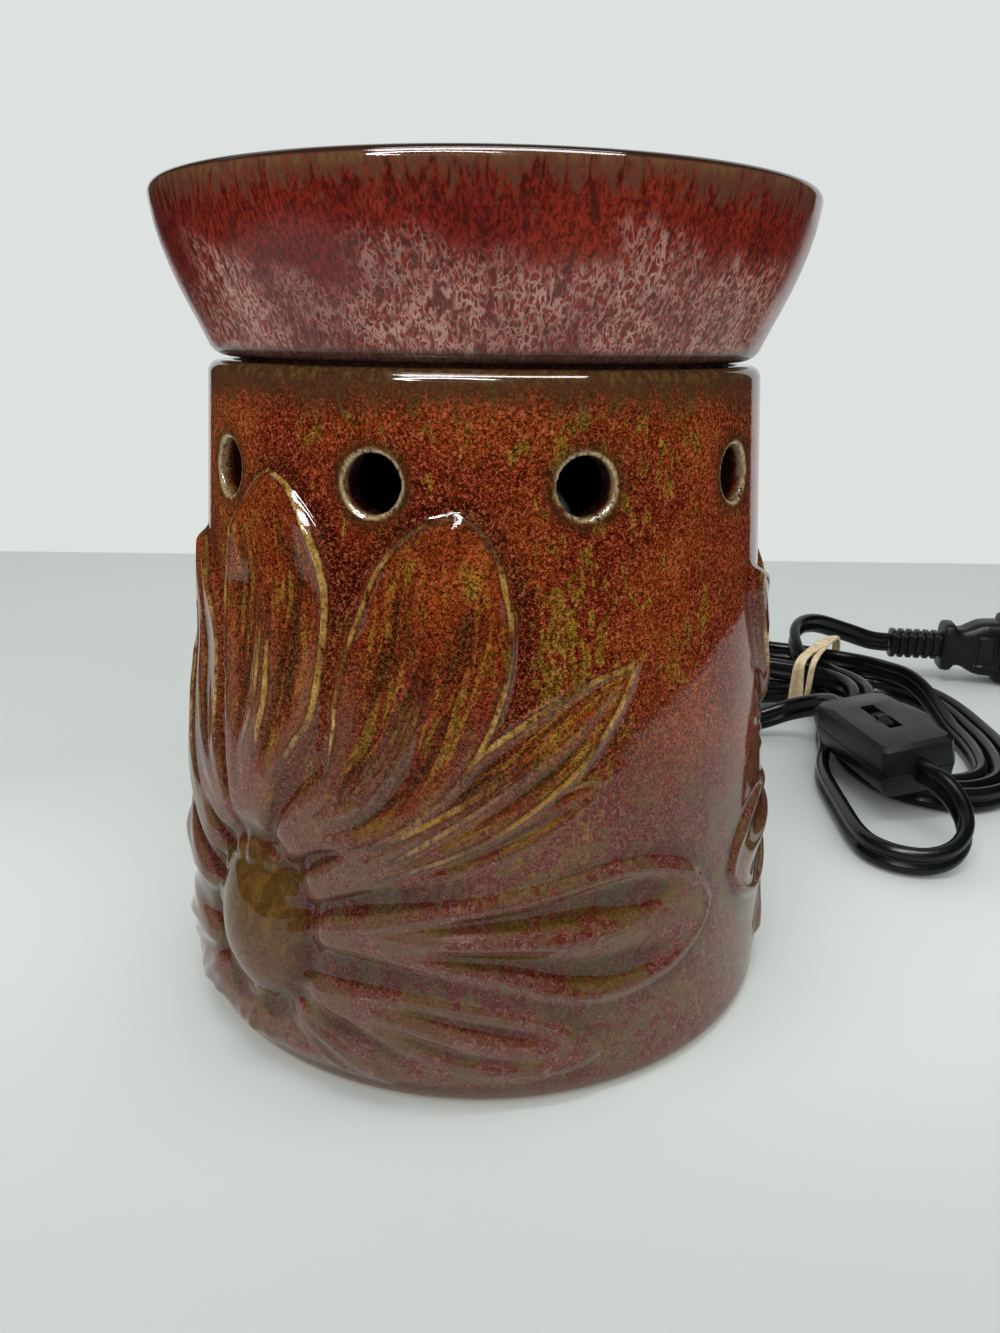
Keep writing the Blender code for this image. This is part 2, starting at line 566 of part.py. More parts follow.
def make_switch(black, shade, brass, zinc):
    m = switch_matrix()
    h, w = SWITCH_LONG / 2, SWITCH_WIDE / 2
    # height, half length and half width of the sections of each half
    halves = (("switch_housing_lower", ((0.0, h - 2.5, w - 2.5), (3.2, h - 0.8, w - 0.6), (7.85, h, w))),
              ("switch_housing_upper", ((8.15, h, w), (14.6, h - 0.5, w - 0.3), (SWITCH_HIGH, h - 1.9, w - 1.2))))
    tools = [box("c", (24, 17, 12), (0, 0, 7.8), None, cutters)]
    tools[0].data.transform(Matrix.Identity(4))
    cavity = join("cut_cavity", tools, cutters)
    slot = box("cut_slot", (17, 4.2, 14), (0, 0, 12), None, cutters)
    pin = cylinder("cut_pin", 1.4, 20.6, (0, 0, WHEEL_Z), None, "y", 12, cutters)
    drill = [cylinder("d", 1.5, 12.6, (sx * 14.9, -sx * 5.2, 6.3), None, "z", 10, cutters) for sx in (-1, 1)]
    sunk = [cylinder("d", 2.5, 4, (sx * 14.9, -sx * 5.2, 0.4), None, "z", 12, cutters) for sx in (-1, 1)]
    drill, sunk = join("cut_drill", drill, cutters), join("cut_sunk", sunk, cutters)
    # the end of the top that slopes towards the lead
    slope = box("cut_slope", (30, 40, 10), (-15, 0, 5), None, cutters)
    slope.data.transform(Matrix.Translation(Vector((-9.5, 0, SWITCH_HIGH)) * MM) @ Matrix.Rotation(-0.15, 4, "Y"))
    for tool in (cavity, slot, pin, drill, sunk, slope):
        tool.data.transform(m)
    for name, sections in halves:
        rows = []
        for z, hl, hw in sections:
            rows.append([(-hl, 3 - hw, z), (3 - hl, -hw, z), (hl - 1.4, -hw, z), (hl, 1.4 - hw, z),
                         (hl, hw - 1.4, z), (hl - 1.4, hw, z), (3 - hl, hw, z), (-hl, hw - 3, z)])
        ob = loft(name, rows, black, m)
        cut(ob, cavity, pin, drill)
        if name == "switch_housing_upper":
            cut(ob, slot, slope)
        else:
            cut(ob, sunk)
    # toothed wheel on its pin
    rim = []
    for k in range(48):
        a = 2 * math.pi * k / 48
        r = WHEEL_R if k % 4 < 2 else WHEEL_R - 0.7
        rim.append((r * math.cos(a), r * math.sin(a)))
    wheel = loft("switch_wheel", [[(x, y, z) for x, y in rim] for z in (-1.6, 1.6)], shade)
    wheel.matrix_world = m @ Matrix.Translation((0, 0, WHEEL_Z * MM)) @ Matrix.Rotation(-math.pi / 2, 4, "X")
    bore = cylinder("cut_bore", 1.3, 6, (0, 0, 0), None, "z", 12, cutters)
    bore.data.transform(wheel.matrix_world)
    cut(wheel, bore)
    axle = cylinder("switch_axle", 1.0, 20.0, (0, 0, WHEEL_Z), zinc, "y", 10)
    axle.data.transform(m)
    for name, sx in (("switch_contact_feed", -1), ("switch_contact_load", 1)):
        bent = ((9.4, 2.2), (10.0, 2.2), (11.4, 3.0), (11.4, 9.0), (10.9, 9.0), (10.9, 3.4), (9.4, 2.7))
        side = [[(sx * x, y, z) for x, z in bent] for y in (-6.5, -3.5)]
        loft(name, side, brass, m)
    for name, sx in (("switch_screw_front", 1), ("switch_screw_back", -1)):
        ob = lathe(name, [(0, 12.0), (1.2, 12.0), (1.2, 2.0), (2.2, 2.0), (2.2, 0.9), (0, 0.9)], 10, zinc)
        ob.matrix_world = m @ Matrix.Translation(Vector((sx * 14.9, -sx * 5.2, 0)) * MM)


def make_plug(black, brass):
    m = Matrix.Translation(Vector(PLUG_AT) * MM) @ Matrix.Rotation(math.radians(PLUG_YAW), 4, "Z")
    rows = []
    for k in range(6):
        x = 3.15 * k
        rows += [(x, 5.6, 4.4), (x + 1.9, 5.6, 4.4), (x + 1.95, 4.5, 3.4), (x + 3.1, 4.5, 3.4)]
    rows += [(19.0, 6.4, 5.0), (19.6, 9.4, 6.2), (23.2, 9.6, 6.4), (23.8, 7.6, 5.8), (26.5, 7.4, 5.6),
             (30.5, 9.6, 6.2), (34.0, 10.8, 6.8), (40.5, 11.0, 7.2), (40.6, 13.4, 8.6), (44.0, 13.5, 8.8),
             (45.0, 12.6, 8.0)]
    body = loft("plug_body", [[(x, y, z) for z, y in rounded(h, d, 12, 0.6)] for x, h, d in rows], black, m)
    tools = []
    for name, z, wide in (("plug_blade_line", -6.35, 6.4), ("plug_blade_neutral", 6.35, 7.9)):
        blade = box(name, (20.5, wide, 1.5), (52.4, 0, z), brass)
        hole = cylinder("cut_" + name, 1.6, 6, (58.5, 0, z), None, "z", 12, cutters)
        hole.data.transform(m)
        blade.data.transform(m)
        cut(blade, hole)
        tools.append(box("b", (8, wide + 0.6, 2.1), (45.8, 0, z), None, cutters))
    recess = join("cut_blades", tools, cutters)
    recess.data.transform(m)
    cut(body, recess)


def make_wires(black, white):
    for name, sx, mat in (("wire_line", 1, black), ("wire_neutral", -1, white)):
        route = [(sx * 1.8, 52.0, 7.4), (sx * 1.8, 48, 7.6), (sx * 4, 38, 9.5), (sx * 9, 26, 14.5),
                 (sx * 14.5, 15, 20), (sx * 15.6, 8, 23.2), (sx * 15.6, 3.6, TERMINAL_Z)]
        tube(name, course(route, 14), 1.2, mat, 1)


def build():
    clear()
    glaze = material("glaze_body", (0.23, 0.07, 0.05), 0.14)
    dish = material("glaze_dish", (0.20, 0.045, 0.045), 0.14)
    steel = material("plated_steel", (0.55, 0.55, 0.56), 0.35, 1.0)
    zinc = material("zinc_fittings", (0.62, 0.60, 0.55), 0.38, 1.0)
    brass = material("brass_contacts", (0.72, 0.53, 0.23), 0.30, 1.0)
    phenolic = material("black_phenolic", (0.02, 0.02, 0.02), 0.45)
    vinyl = material("black_vinyl", (0.014, 0.014, 0.016), 0.42)
    moulded = material("black_plastic", (0.02, 0.02, 0.022), 0.40)
    rubber = material("black_rubber", (0.02, 0.02, 0.02), 0.75)
    tan = material("tan_rubber", (0.62, 0.46, 0.25), 0.6)
    white = material("white_vinyl", (0.8, 0.8, 0.78), 0.45)
    frosted = material("frosted_glass", (0.92, 0.92, 0.90), 0.35)
    clear_glass = material("stem_glass", (0.85, 0.88, 0.88), 0.1)
    tungsten = material("tungsten_wire", (0.35, 0.34, 0.33), 0.4, 1.0)
    make_body(glaze)
    make_dish(dish)
    make_base(steel, zinc, rubber)
    make_socket(phenolic, brass, zinc, steel)
    make_lamp(frosted, brass, phenolic, tungsten, clear_glass)
    make_wires(vinyl, white)
    make_cord(vinyl, rubber, tan)
    make_switch(moulded, moulded, brass, zinc)
    make_plug(moulded, brass)


build()
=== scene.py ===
"""Looks of an electric wax warmer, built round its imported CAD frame.

Lengths are in millimetres unless a name says otherwise; MM turns them into metres. The object stands on
z = 0, its axis is the z axis, and an angle phi round it is measured from -y towards +x.
"""
import json
import math

import bmesh
import bpy
import numpy as np
from mathutils import Matrix, Vector


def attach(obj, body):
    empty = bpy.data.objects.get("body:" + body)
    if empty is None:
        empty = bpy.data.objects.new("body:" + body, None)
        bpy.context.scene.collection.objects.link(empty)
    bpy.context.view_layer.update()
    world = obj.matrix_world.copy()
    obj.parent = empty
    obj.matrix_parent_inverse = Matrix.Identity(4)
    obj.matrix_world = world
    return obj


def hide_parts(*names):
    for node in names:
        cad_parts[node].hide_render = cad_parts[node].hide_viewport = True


MM = 0.001
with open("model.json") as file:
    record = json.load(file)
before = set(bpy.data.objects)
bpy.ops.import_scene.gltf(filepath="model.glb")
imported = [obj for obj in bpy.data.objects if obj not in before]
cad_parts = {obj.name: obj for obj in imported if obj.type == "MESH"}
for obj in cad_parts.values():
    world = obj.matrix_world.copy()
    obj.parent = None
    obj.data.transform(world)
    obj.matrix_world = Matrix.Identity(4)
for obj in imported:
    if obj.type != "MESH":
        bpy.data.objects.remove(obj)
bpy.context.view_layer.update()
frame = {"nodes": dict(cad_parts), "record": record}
NODES = frame["nodes"]

# shell of the body
BODY_TOP = 123.5
BODY_R_FOOT = 61.3
BODY_R_TOP = 51.9
WALL = 5.0
MOUTH_R = 46.9
COLUMNS = 720
ROW_STEP = 0.45
OUTER_Z = (121.7, 2.8)
VENT_COUNT = 10
VENT_R = 4.7
VENT_Z = 106.5
VENT_LIP = 0.9
VENT_SIDES = 56
VENT_LONG = 12.0
NOTCH_HALF = 6.3
NOTCH_Y = (38.0, 75.0)
# profiles as (radius, height): the rounded mouth, then the foot with the ledge of the base plate
RIM = ((46.9, 121.9), (47.05, 122.6), (47.5, 123.2), (48.1, 123.48), (49.2, 123.5), (50.2, 123.46),
       (50.9, 123.25), (51.45, 122.8), (51.8, 122.25))
FOOT = ((61.15, 2.2), (60.9, 1.5), (60.45, 0.95), (59.8, 0.55), (59.2, 0.4), (56.5, 0.4), (54.4, 0.4),
        (53.4, 1.4), (53.4, 3.4), (53.4, 5.4), (49, 5.4), (45, 5.4), (45, 8), (45, 10.4), (50, 10.4))
INNER_Z = (10.4, 66.0, 121.9)

# moulded daisies: angle of the first one's centre, turn of each from it, height, half size of the disc
FLOWER_PHI = -39.0
FLOWER_TURNS = (0.0, 166.0)
FLOWER_Z = 29.0
DISC_HALF = (11.0, 15.0)
# where the glaze runs thick beside a flower: degrees from its centre and height, with their spreads
RUNS_AT, RUNS_SPREAD = (54.0, 76.0), (12.0, 19.0)
# stations of each petal's middle line as (across, above, half width), from root to tip, then its height at
# the root, its height at the tip, and how far its edges and ribs break to gold
PETALS = (
    (((8, 9, 2), (26, 17, 4.5), (42, 23, 5.5), (54, 27.5, 3.6), (63, 31.5, 0.6)), 0.9, 0.2, 0.15),
    (((-7, 8, 2), (-24, 15, 4.5), (-38, 20, 5.5), (-50, 24, 3.6), (-58, 28, 0.6)), 0.9, 0.2, 0.15),
    (((7, -8, 2.5), (23, -10, 5), (39, -14.5, 7), (52, -17.8, 6), (60, -19.6, 3.4), (64, -20.6, 0.6)),
     1.7, 0.6, 0.15),
    (((-7, -8, 2.5), (-22, -10, 5), (-36, -15, 7), (-48, -18, 6), (-60, -20, 0.6)), 1.7, 0.8, 0.15),
    (((6, -10, 2.5), (15, -16.5, 4.5), (22, -21, 5), (29, -26, 0.6)), 1.6, 0.7, 0.30),
    (((-6, -11, 2.5), (-14, -17, 4.5), (-20, -22, 5), (-27, -27, 0.6)), 1.6, 0.7, 0.30),
    (((0, -13, 3), (-1, -20, 5), (-2, -30, 5)), 1.4, 1.0, 0.10),
    (((9, 8, 2.5), (22, 17, 4.4), (37, 27, 7.2), (50, 36.5, 7.2), (58, 43.5, 5), (62, 47, 2.6),
      (64.4, 49.6, 0.6)), 2.0, 0.5, 0.90),
    (((-9, 8, 2.5), (-19, 18, 4.6), (-32, 30, 7.4), (-44, 42, 8.4), (-53, 51, 6.5), (-58, 56.5, 3.4),
      (-60, 59, 0.6)), 2.0, 2.4, 0.80),
    (((9, 1, 3), (22, 4, 5), (44, 3.7, 8.3), (58, 2.5, 12.3), (68, 2, 12.8), (78, 1.3, 10.6), (84, 1, 6.8),
      (86.6, 1.2, 3.4), (87.8, 1.4, 0.6)), 2.2, 0.6, 0.12),
    (((-9, 1, 3), (-22, 4, 5), (-40, 4, 8.3), (-54, 3, 11.5), (-64, 3, 11), (-72, 3, 6.8), (-76, 3, 0.6)),
     2.4, 0.8, 0.20),
    (((4, 13, 2.5), (11, 21, 5), (19.6, 26.6, 8), (24.8, 34.2, 11.5), (27.4, 41.2, 13.3), (29.4, 48.7, 13.8),
      (30.5, 54.3, 13.2), (31.3, 61.5, 11.5), (32.4, 67.4, 8.8), (33.2, 71.4, 5.2), (33.5, 73.6, 0.6)),
     2.2, 0.5, 0.85),
    (((-4, 13, 2.5), (-11, 21, 5), (-18.6, 27, 8), (-23, 34, 11), (-25.6, 41, 12.8), (-27.6, 48, 12.6),
      (-29, 54, 10.8), (-30, 59.5, 7.4), (-30.6, 62.6, 4), (-31, 64.4, 0.6)), 2.2, 0.8, 0.80),
    (((0, 13, 2.5), (-0.9, 21, 5.3), (-1.7, 29, 7.5), (-0.4, 37.6, 10.3), (0.5, 43, 12.1), (0.4, 55, 13.3),
      (0.7, 61, 12.8), (0.1, 69, 10.3), (-0.2, 74.6, 6.6), (-0.4, 77.2, 3.6), (-0.5, 78.4, 0.6)),
     2.4, 0.6, 1.00),
)

# profile of the dish as (radius, height), from the middle of its well over the rim to its underside
DISH_PROFILE = (
    (20, 130.6), (36.0, 130.6), (40, 131.0), (43.0, 132.0), (45.6, 133.7), (47.6, 136.0), (50.2, 139.2),
    (52.4, 142.5), (53.8, 146.2), (54.8, 149.6), (55.2, 150.7), (55.9, 151.5), (56.7, 151.9), (57.5, 152.0),
    (58.4, 151.9), (59.1, 151.65), (59.55, 151.2), (59.85, 150.6), (59.9, 150.0), (59.7, 148.4),
    (59.1, 145.3), (58.3, 142.2), (57.2, 139), (56, 135.9), (54.6, 132.8), (53.1, 129.7), (51.9, 127.1),
    (51.3, 125.8), (50.5, 124.9), (49.4, 124.35), (48.4, 124.1), (46.2, 123.9), (45.6, 122.6), (45.4, 119.8),
    (42.2, 119.8), (41.2, 124.2), (20, 124.8),
)
DISH_MIDDLE_Z = (130.6, 125.0)
DISH_COLUMNS = 240

# lead, hank, switch and plug, as in the CAD
CORD_THICK = 3.8
CORD_WIDE = 7.4
CORD_REST = CORD_WIDE / 2 + 0.2
LOOP = (
    (116, 97), (120, 113), (121, 127), (114, 138), (100, 143), (84, 144), (68, 147), (55, 156),
    (55, 171), (66, 182), (82, 184), (99, 177), (113, 166), (127, 156), (146, 147), (158, 130),
    (161, 105), (158, 81), (151, 66), (137, 59), (123, 65), (116, 80),
)
HANK_END = 3.10
HANK_STEP = 4.8
HANK_POINTS = 32
HANK_FINE = 96
LEAD_HIGH = 7.4
CORD_STEP = 1.6
TAIL_EASING = 30
WAIST = (121.0, 147.0)
WAIST_IN = 30.0
WAIST_OUT = 58.0
WAIST_LIFT = 2.0
WAIST_COLUMN = (0.4, -4.4, 0.4, -4.4)
WAIST_LAYER = (0, 0, 1, 1)
LAYER_RISE = 7.9
# rubber band: direction it is drawn in, half size round the hank, half size of its own section, and for
# each turn the shift along the hank, swing, its phase and height over the strands
BAND_CROSS = (0.39, 0.92)
BAND_ROUND = (18.4, 10.3)
BAND_HALF = (1.05, 0.50)
BAND_SLANT = 4.0
BAND_TURNS = ((-2.3, 0.8, 0.2, 0.0), (-0.7, -1.7, 0.9, 0.35), (0.9, 1.5, 1.7, 0.1), (2.2, -1.0, 3.0, 0.6))
SWITCH_AT = (117.0, 70.0, 8.2)
SWITCH_YAW = -79.8
SWITCH_LEAN = 8.0
SWITCH_LONG = 42.0
PLUG_AT = (158.3, 178.4, 13.9)
PLUG_YAW = -7.5
PLUG_SIDES = 112
# sections of the plug as (along, half height, half depth): one of its ribs, then collar, waist, body, flange
RIB_COUNT = 6
RIB_STEP = 3.15
RIB = ((0, 5.2, 4), (0.25, 5.55, 4.35), (1.65, 5.55, 4.35), (1.9, 5.2, 4), (2, 4.5, 3.4), (3.05, 4.5, 3.4))
PLUG_ROWS = (
    (18.95, 6.2, 4.9), (19.3, 8.6, 5.8), (19.8, 9.4, 6.2), (21.4, 9.6, 6.35), (22.8, 9.5, 6.3),
    (23.5, 8.6, 6.1), (24.2, 7.6, 5.8), (25.4, 7.4, 5.6), (27, 7.6, 5.65), (28.8, 8.6, 5.9), (30.6, 9.6, 6.2),
    (32.4, 10.4, 6.5), (34.5, 10.8, 6.8), (37.5, 10.95, 7), (40.2, 11, 7.2), (40.5, 12.2, 7.8),
    (40.8, 13.2, 8.4), (41.3, 13.45, 8.7), (43.6, 13.5, 8.8), (44.5, 13.2, 8.5), (45, 12.6, 8),
)
# sections of the strain relief as (along, half width, half height)
BUSHING_ROWS = (
    (52.3, 5.2, 5.4), (53, 5.5, 5.6), (62.2, 5.5, 5.6), (62.3, 7.9, 6.3), (62.6, 8.35, 6.75), (64, 8.4, 6.8),
    (64.7, 8, 6.5), (65, 7.2, 6), (65.1, 4.7, 5.7), (70, 4.2, 5.5), (75, 3.8, 5.3), (79, 3.5, 5.1),
    (87.4, 3, 4.75), (87.9, 2.6, 4.4),
)

# glass of the lamp: outer and inner profile as (radius, height), as in the CAD
BULB_OUTER = ((0.3, 104.4), (6, 103.6), (12, 101), (16.4, 96.4), (19, 91), (20, 84), (19, 76), (16, 69),
              (11, 63), (7.6, 59), (7.2, 56), (7.2, 50.0))
BULB_INNER = ((6.3, 50.0), (6.3, 56.4), (10, 63.6), (15, 69.8), (18, 76.6), (18.9, 84), (18, 90.6),
              (15.4, 95.7), (11.4, 100), (5.6, 102.5), (0.3, 103.3))
BULB_ROWS = 48
BULB_COLUMNS = 96

# plain looks: colour, roughness, then what the function of each kind takes
METALS = {
    "plated_steel": ((0.55, 0.55, 0.56), 0.35, (1, 0.06, 1)),
    "zinc_fittings": ((0.62, 0.60, 0.55), 0.38),
    "brass_contacts": ((0.72, 0.53, 0.23), 0.30, (1, 1, 0.1)),
    "tungsten_wire": ((0.35, 0.34, 0.33), 0.40),
}
MOULDED = {
    "black_phenolic": ((0.018, 0.017, 0.016), 0.38),
    "black_vinyl": ((0.0045, 0.005, 0.006), 0.22, 0.02, 2, 0.35, 0.28),
    "black_plastic": ((0.007, 0.008, 0.0085), 0.34, 0.05, 5, 0.35, 0.20),
    "black_rubber": ((0.018, 0.018, 0.018), 0.62, 0.05),
    "white_vinyl": ((0.70, 0.70, 0.68), 0.4, 0.02, 2, 0.08),
}
GLASSES = {
    "frosted_glass": ((0.93, 0.93, 0.90), 0.30, 0.75),
    "stem_glass": ((0.90, 0.93, 0.93), 0.06, 0.95),
}

# camera, fitted to the photograph
CAMERA_AT = (3.55, -202.98, 128.42)
CAMERA_PITCH = 18.40
CAMERA_ROLL = 0.74
FOCAL_PX = 1000.0
PHOTO_HIGH = 1333.0
SENSOR_HIGH = 36.0

# stage: the far edge of the table, and the line along which dark flags stand on it, unseen but reflected,
# from the left round the front
TABLE_HALF = 2500.0
TABLE_Z = -0.05
WALL_Y = 392.0
# half size of the pool of light painted on the table
LIGHT_POOL_HALF = (320.0, 108.0)
FLAG_LINE = ((-460, 300), (-460, -252), (-70, -246), (88, -223), (179, -204), (255, -161), (330, -77),
             (383, 81), (335, 230), (330, 300))
FLAG_TOP = 640.0


# shader nodes

class Net:
    """Short calls for building the node tree of one material."""

    def __init__(self, name, **sockets):
        self.mat = bpy.data.materials.new(name)
        self.mat.use_nodes = True
        self.tree = self.mat.node_tree
        self.shader = self.tree.nodes["Principled BSDF"]
        for key, value in sockets.items():
            self.put(value, self.shader.inputs[key.replace("_", " ").title().replace("Ior", "IOR")])

    def put(self, value, socket):
        if isinstance(value, bpy.types.NodeSocket):
            self.tree.links.new(value, socket)
        else:
            socket.default_value = value

    def node(self, kind, inputs, out=0, **props):
        n = self.tree.nodes.new("ShaderNode" + kind)
        for key, value in props.items():
            setattr(n, key, value)
        for key, value in inputs.items():
            self.put(value, n.inputs[key])
        return n.outputs[out]

    def at(self, scale=(1.0, 1.0, 1.0)):
        """Object coordinates in millimetres, stretched."""
        where = self.node("TexCoord", {}, "Object")
        return self.node("Mapping", {"Vector": where, "Scale": [s / MM for s in scale]})

    def noise(self, where, scale, detail=3.0, rough=0.55, warp=0.0):
        return self.node("TexNoise", {"Vector": where, "Scale": scale, "Detail": detail,
                                      "Roughness": rough, "Distortion": warp})

    def attr(self, name, out="Fac"):
        return self.node("Attribute", {}, out, attribute_name=name)

    def span(self, value, low, high, to_low=0.0, to_high=1.0):
        """Smooth step of a value from one range to another."""
        return self.node("MapRange", {"Value": value, "From Min": low, "From Max": high,
                                      "To Min": to_low, "To Max": to_high},
                         interpolation_type="SMOOTHSTEP")

    def math(self, op, a, b=0.0):
        """One sum; an addition is held between 0 and 1."""
        return self.node("Math", {0: a, 1: b}, operation=op, use_clamp=op == "ADD")

    def product(self, *factors):
        out = factors[0]
        for factor in factors[1:]:
            out = self.math("MULTIPLY", out, factor)
        return out

    def moved(self, value, by, reach):
        """A value shifted up or down by a noise."""
        shift = self.node("Math", {0: by, 1: reach, 2: -0.5 * reach}, operation="MULTIPLY_ADD")
        return self.node("Math", {0: value, 1: shift}, operation="ADD")

    def mix(self, fac, a, b):
        a, b = ((*c, 1.0) if isinstance(c, tuple) and len(c) == 3 else c for c in (a, b))
        return self.node("Mix", {0: fac, 6: a, 7: b}, 2, data_type="RGBA")

    def times(self, color, value):
        return self.node("VectorMath", {0: color, "Scale": value}, operation="SCALE")

    def height(self):
        where = self.node("TexCoord", {}, "Object")
        z = self.node("SeparateXYZ", {"Vector": where}, "Z")
        return self.product(z, 1 / MM)

    def bump(self, value, depth, strength=1.0):
        """Bump of a given depth in millimetres."""
        out = self.node("Bump", {"Height": value, "Distance": depth * MM, "Strength": strength})
        self.put(out, self.shader.inputs["Normal"])

    def done(self, color, rough=None):
        self.put((*color, 1.0) if isinstance(color, tuple) else color, self.shader.inputs["Base Color"])
        if rough is not None:
            self.put(rough, self.shader.inputs["Roughness"])
        return self.mat


def body_glaze():
    n = Net("body_glaze", IOR=1.46)
    z = n.height()
    even = n.at()
    tall = n.at((1, 1, 0.45))
    flow = n.node("Mapping", {"Vector": n.attr("flow", "Vector"), "Scale": (0.55, 0.075, 1)})
    cavity, lines = n.attr("cavity"), n.attr("lines")
    petal, vent = n.attr("petal"), n.attr("vent")
    broad = n.noise(even, 0.035, 2)
    grain = n.noise(even, 2.1, 2, 0.6, 1.2)
    spots = n.noise(tall, 0.36, 6, 0.66, 1.2)
    where = n.noise(even, 0.028, 2)
    streak = n.noise(flow, 1, 5, 0.62, 0.5)
    worn = n.noise(tall, 0.9, 3, 0.7)
    # iron red
    color = n.mix(n.span(broad, 0.35, 0.65), (0.128, 0.013, 0.003), (0.235, 0.042, 0.007))
    # olive mottling where the glaze runs thick
    lean = n.math("ADD", n.product(n.span(where, 0.42, 0.64), 0.07), n.span(z, 66, 40, 0, 0.01))
    lean = n.math("ADD", lean, n.product(n.attr("runs"), 0.13))
    olive = n.span(n.math("ADD", spots, lean), 0.59, 0.65)
    moss = n.mix(n.span(worn, 0.4, 0.62), (0.125, 0.066, 0.005), (0.24, 0.135, 0.012))
    # lower down patches of crimson and khaki
    patch = n.noise(even, 0.17, 5, 0.62, 0.8)
    low = n.mix(n.span(patch, 0.47, 0.56), (0.098, 0.011, 0.01), (0.105, 0.07, 0.026))
    color = n.mix(n.span(z, 72, 40, 0, 0.9), color, low)
    color = n.mix(n.product(olive, n.span(z, 66, 44, 0.85, 0.45)), color, moss)
    # petals: streaks that follow them, brown and olive in the hollows, pools in the low ones
    brown = n.mix(n.span(streak, 0.4, 0.54), (0.052, 0.024, 0.004), (0.17, 0.02, 0.005))
    brown = n.mix(n.product(n.span(streak, 0.53, 0.61), 0.85), brown, (0.25, 0.14, 0.014))
    pools = n.mix(n.span(patch, 0.44, 0.52), (0.125, 0.008, 0.004), (0.112, 0.07, 0.004))
    brown = n.mix(n.span(z, 58, 40, 0, 0.8), brown, pools)
    color = n.mix(n.product(petal, n.span(cavity, 0.25, -0.3, 0.25, 0.9)), color, brown)
    # painted shade: every hollow of the relief is darkened, down to half its colour
    color = n.times(color, n.span(cavity, -0.45, -0.02, 0.5, 1))
    # a fine maze of grain, sharp above and calm below, with paler specks
    sharp = n.times(color, n.span(grain, 0.38, 0.62, 0.3, 1.95))
    calm = n.times(color, n.span(grain, 0.38, 0.62, 0.7, 1.35))
    color = n.mix(n.span(z, 74, 46), sharp, calm)
    specks = n.product(n.span(grain, 0.54, 0.66), n.span(z, 42, 78, 0.14, 0.58),
                       n.span(petal, 0, 1, 1, 0.45))
    color = n.mix(specks, color, (0.6, 0.17, 0.085))
    # a mauve veil over the roots of the petals, most on what stands proud: partly glaze, partly painted
    # reflection of the pale table
    along = n.node("SeparateXYZ", {"Vector": n.attr("flow", "Vector")}, "Y")
    veil_and_table_reflection = n.product(petal, n.span(along, 50, 26), n.span(grain, 0.36, 0.6, 0.25, 0.65),
                     n.span(cavity, -0.25, 0.2, 0.15, 0.9))
    color = n.mix(veil_and_table_reflection, color, (0.165, 0.086, 0.066))
    # ridges, where the glaze breaks to gold with dark sides; the cream flecks on the gold are partly glaze,
    # partly painted highlight
    gold = n.mix(n.span(worn, 0.36, 0.52), (0.22, 0.08, 0.008), (0.5, 0.285, 0.06))
    gold = n.mix(n.span(worn, 0.54, 0.66), gold, (0.64, 0.45, 0.18))
    amber = n.mix(worn, (0.3, 0.1, 0.008), (0.58, 0.3, 0.04))
    gold = n.mix(n.span(where, 0.5, 0.62, 0, 0.8), gold, amber)
    color = n.times(color, n.math("SUBTRACT", 1, n.product(n.span(lines, 0.02, 0.25), 0.45)))
    edge = n.product(n.span(lines, 0.26, 0.62), n.span(worn, 0.32, 0.46, 0.15, 1),
                     n.span(n.noise(even, 0.075, 3), 0.42, 0.56, 0.18, 1),
                     n.span(grain, 0.38, 0.56, 0.45, 1), n.span(z, 30, 60, 0.35, 1))
    color = n.mix(edge, color, gold)
    # lower part: a mauve bloom, mostly on what stands proud: partly glaze, partly painted reflection of the
    # pale table
    crawl = n.noise(even, 0.5, 2, 0.5, 1.6)
    bloom_and_table_reflection = n.product(n.span(z, 66, 26), n.span(cavity, -0.3, 0.35, 0.1, 0.46),
                      n.span(crawl, 0.36, 0.6, 0.35, 1))
    color = n.mix(bloom_and_table_reflection, color, (0.16, 0.074, 0.056))
    # fine pale veins that crawl through it
    veins = n.product(n.span(crawl, 0.455, 0.49), n.span(crawl, 0.535, 0.5),
                      n.span(patch, 0.56, 0.44, 0.35, 1), n.span(z, 82, 48, 0, 0.7),
                      n.span(cavity, -0.3, 0.05, 0.35, 1))
    color = n.mix(veins, color, (0.30, 0.15, 0.125))
    # centre of the flower, pitted
    pits = n.span(n.noise(even, 1.1, 2), 0.4, 0.34)
    heart = n.mix(n.span(spots, 0.45, 0.62), (0.085, 0.045, 0.007), (0.15, 0.072, 0.012))
    heart = n.mix(n.product(pits, 0.6), heart, (0.04, 0.018, 0.004))
    color = n.mix(n.product(n.attr("disc"), n.span(z, 22, 36, 0.45, 0.85)), color, heart)
    # dark rings round the vents with a thin pale lip, dark band at the top
    halo = n.product(n.span(vent, 0.16, 0.8), n.span(spots, 0.3, 0.55, 0.95, 0.55))
    color = n.mix(halo, color, (0.038, 0.02, 0.006))
    color = n.mix(n.product(n.attr("vent_lip"), n.span(worn, 0.34, 0.5)), color, (0.6, 0.47, 0.25))
    top = n.moved(z, spots, 13)
    color = n.mix(n.span(top, 115, 121.5, 0, 0.85), color, (0.066, 0.032, 0.014))
    rust = n.product(n.span(z, 120.6, 122.8), n.span(worn, 0.46, 0.62, 0, 0.8))
    color = n.mix(rust, color, (0.165, 0.09, 0.024))
    # inside of the shell
    color = n.mix(n.product(n.attr("inside"), 0.97), color, (0.012, 0.004, 0.003))
    # foot: a grey band of painted reflection of the table, then bare clay
    color = n.mix(n.span(z, 5, 2.2, 0, 0.55), color, (0.15, 0.095, 0.075))
    color = n.mix(n.span(z, 1.15, 0.85), color, (0.5, 0.35, 0.22))
    n.bump(n.noise(even, 0.8, 2), 0.04, 0.4)
    return n.done(color, n.span(z, 1.2, 0.9, 0.06, 0.8))


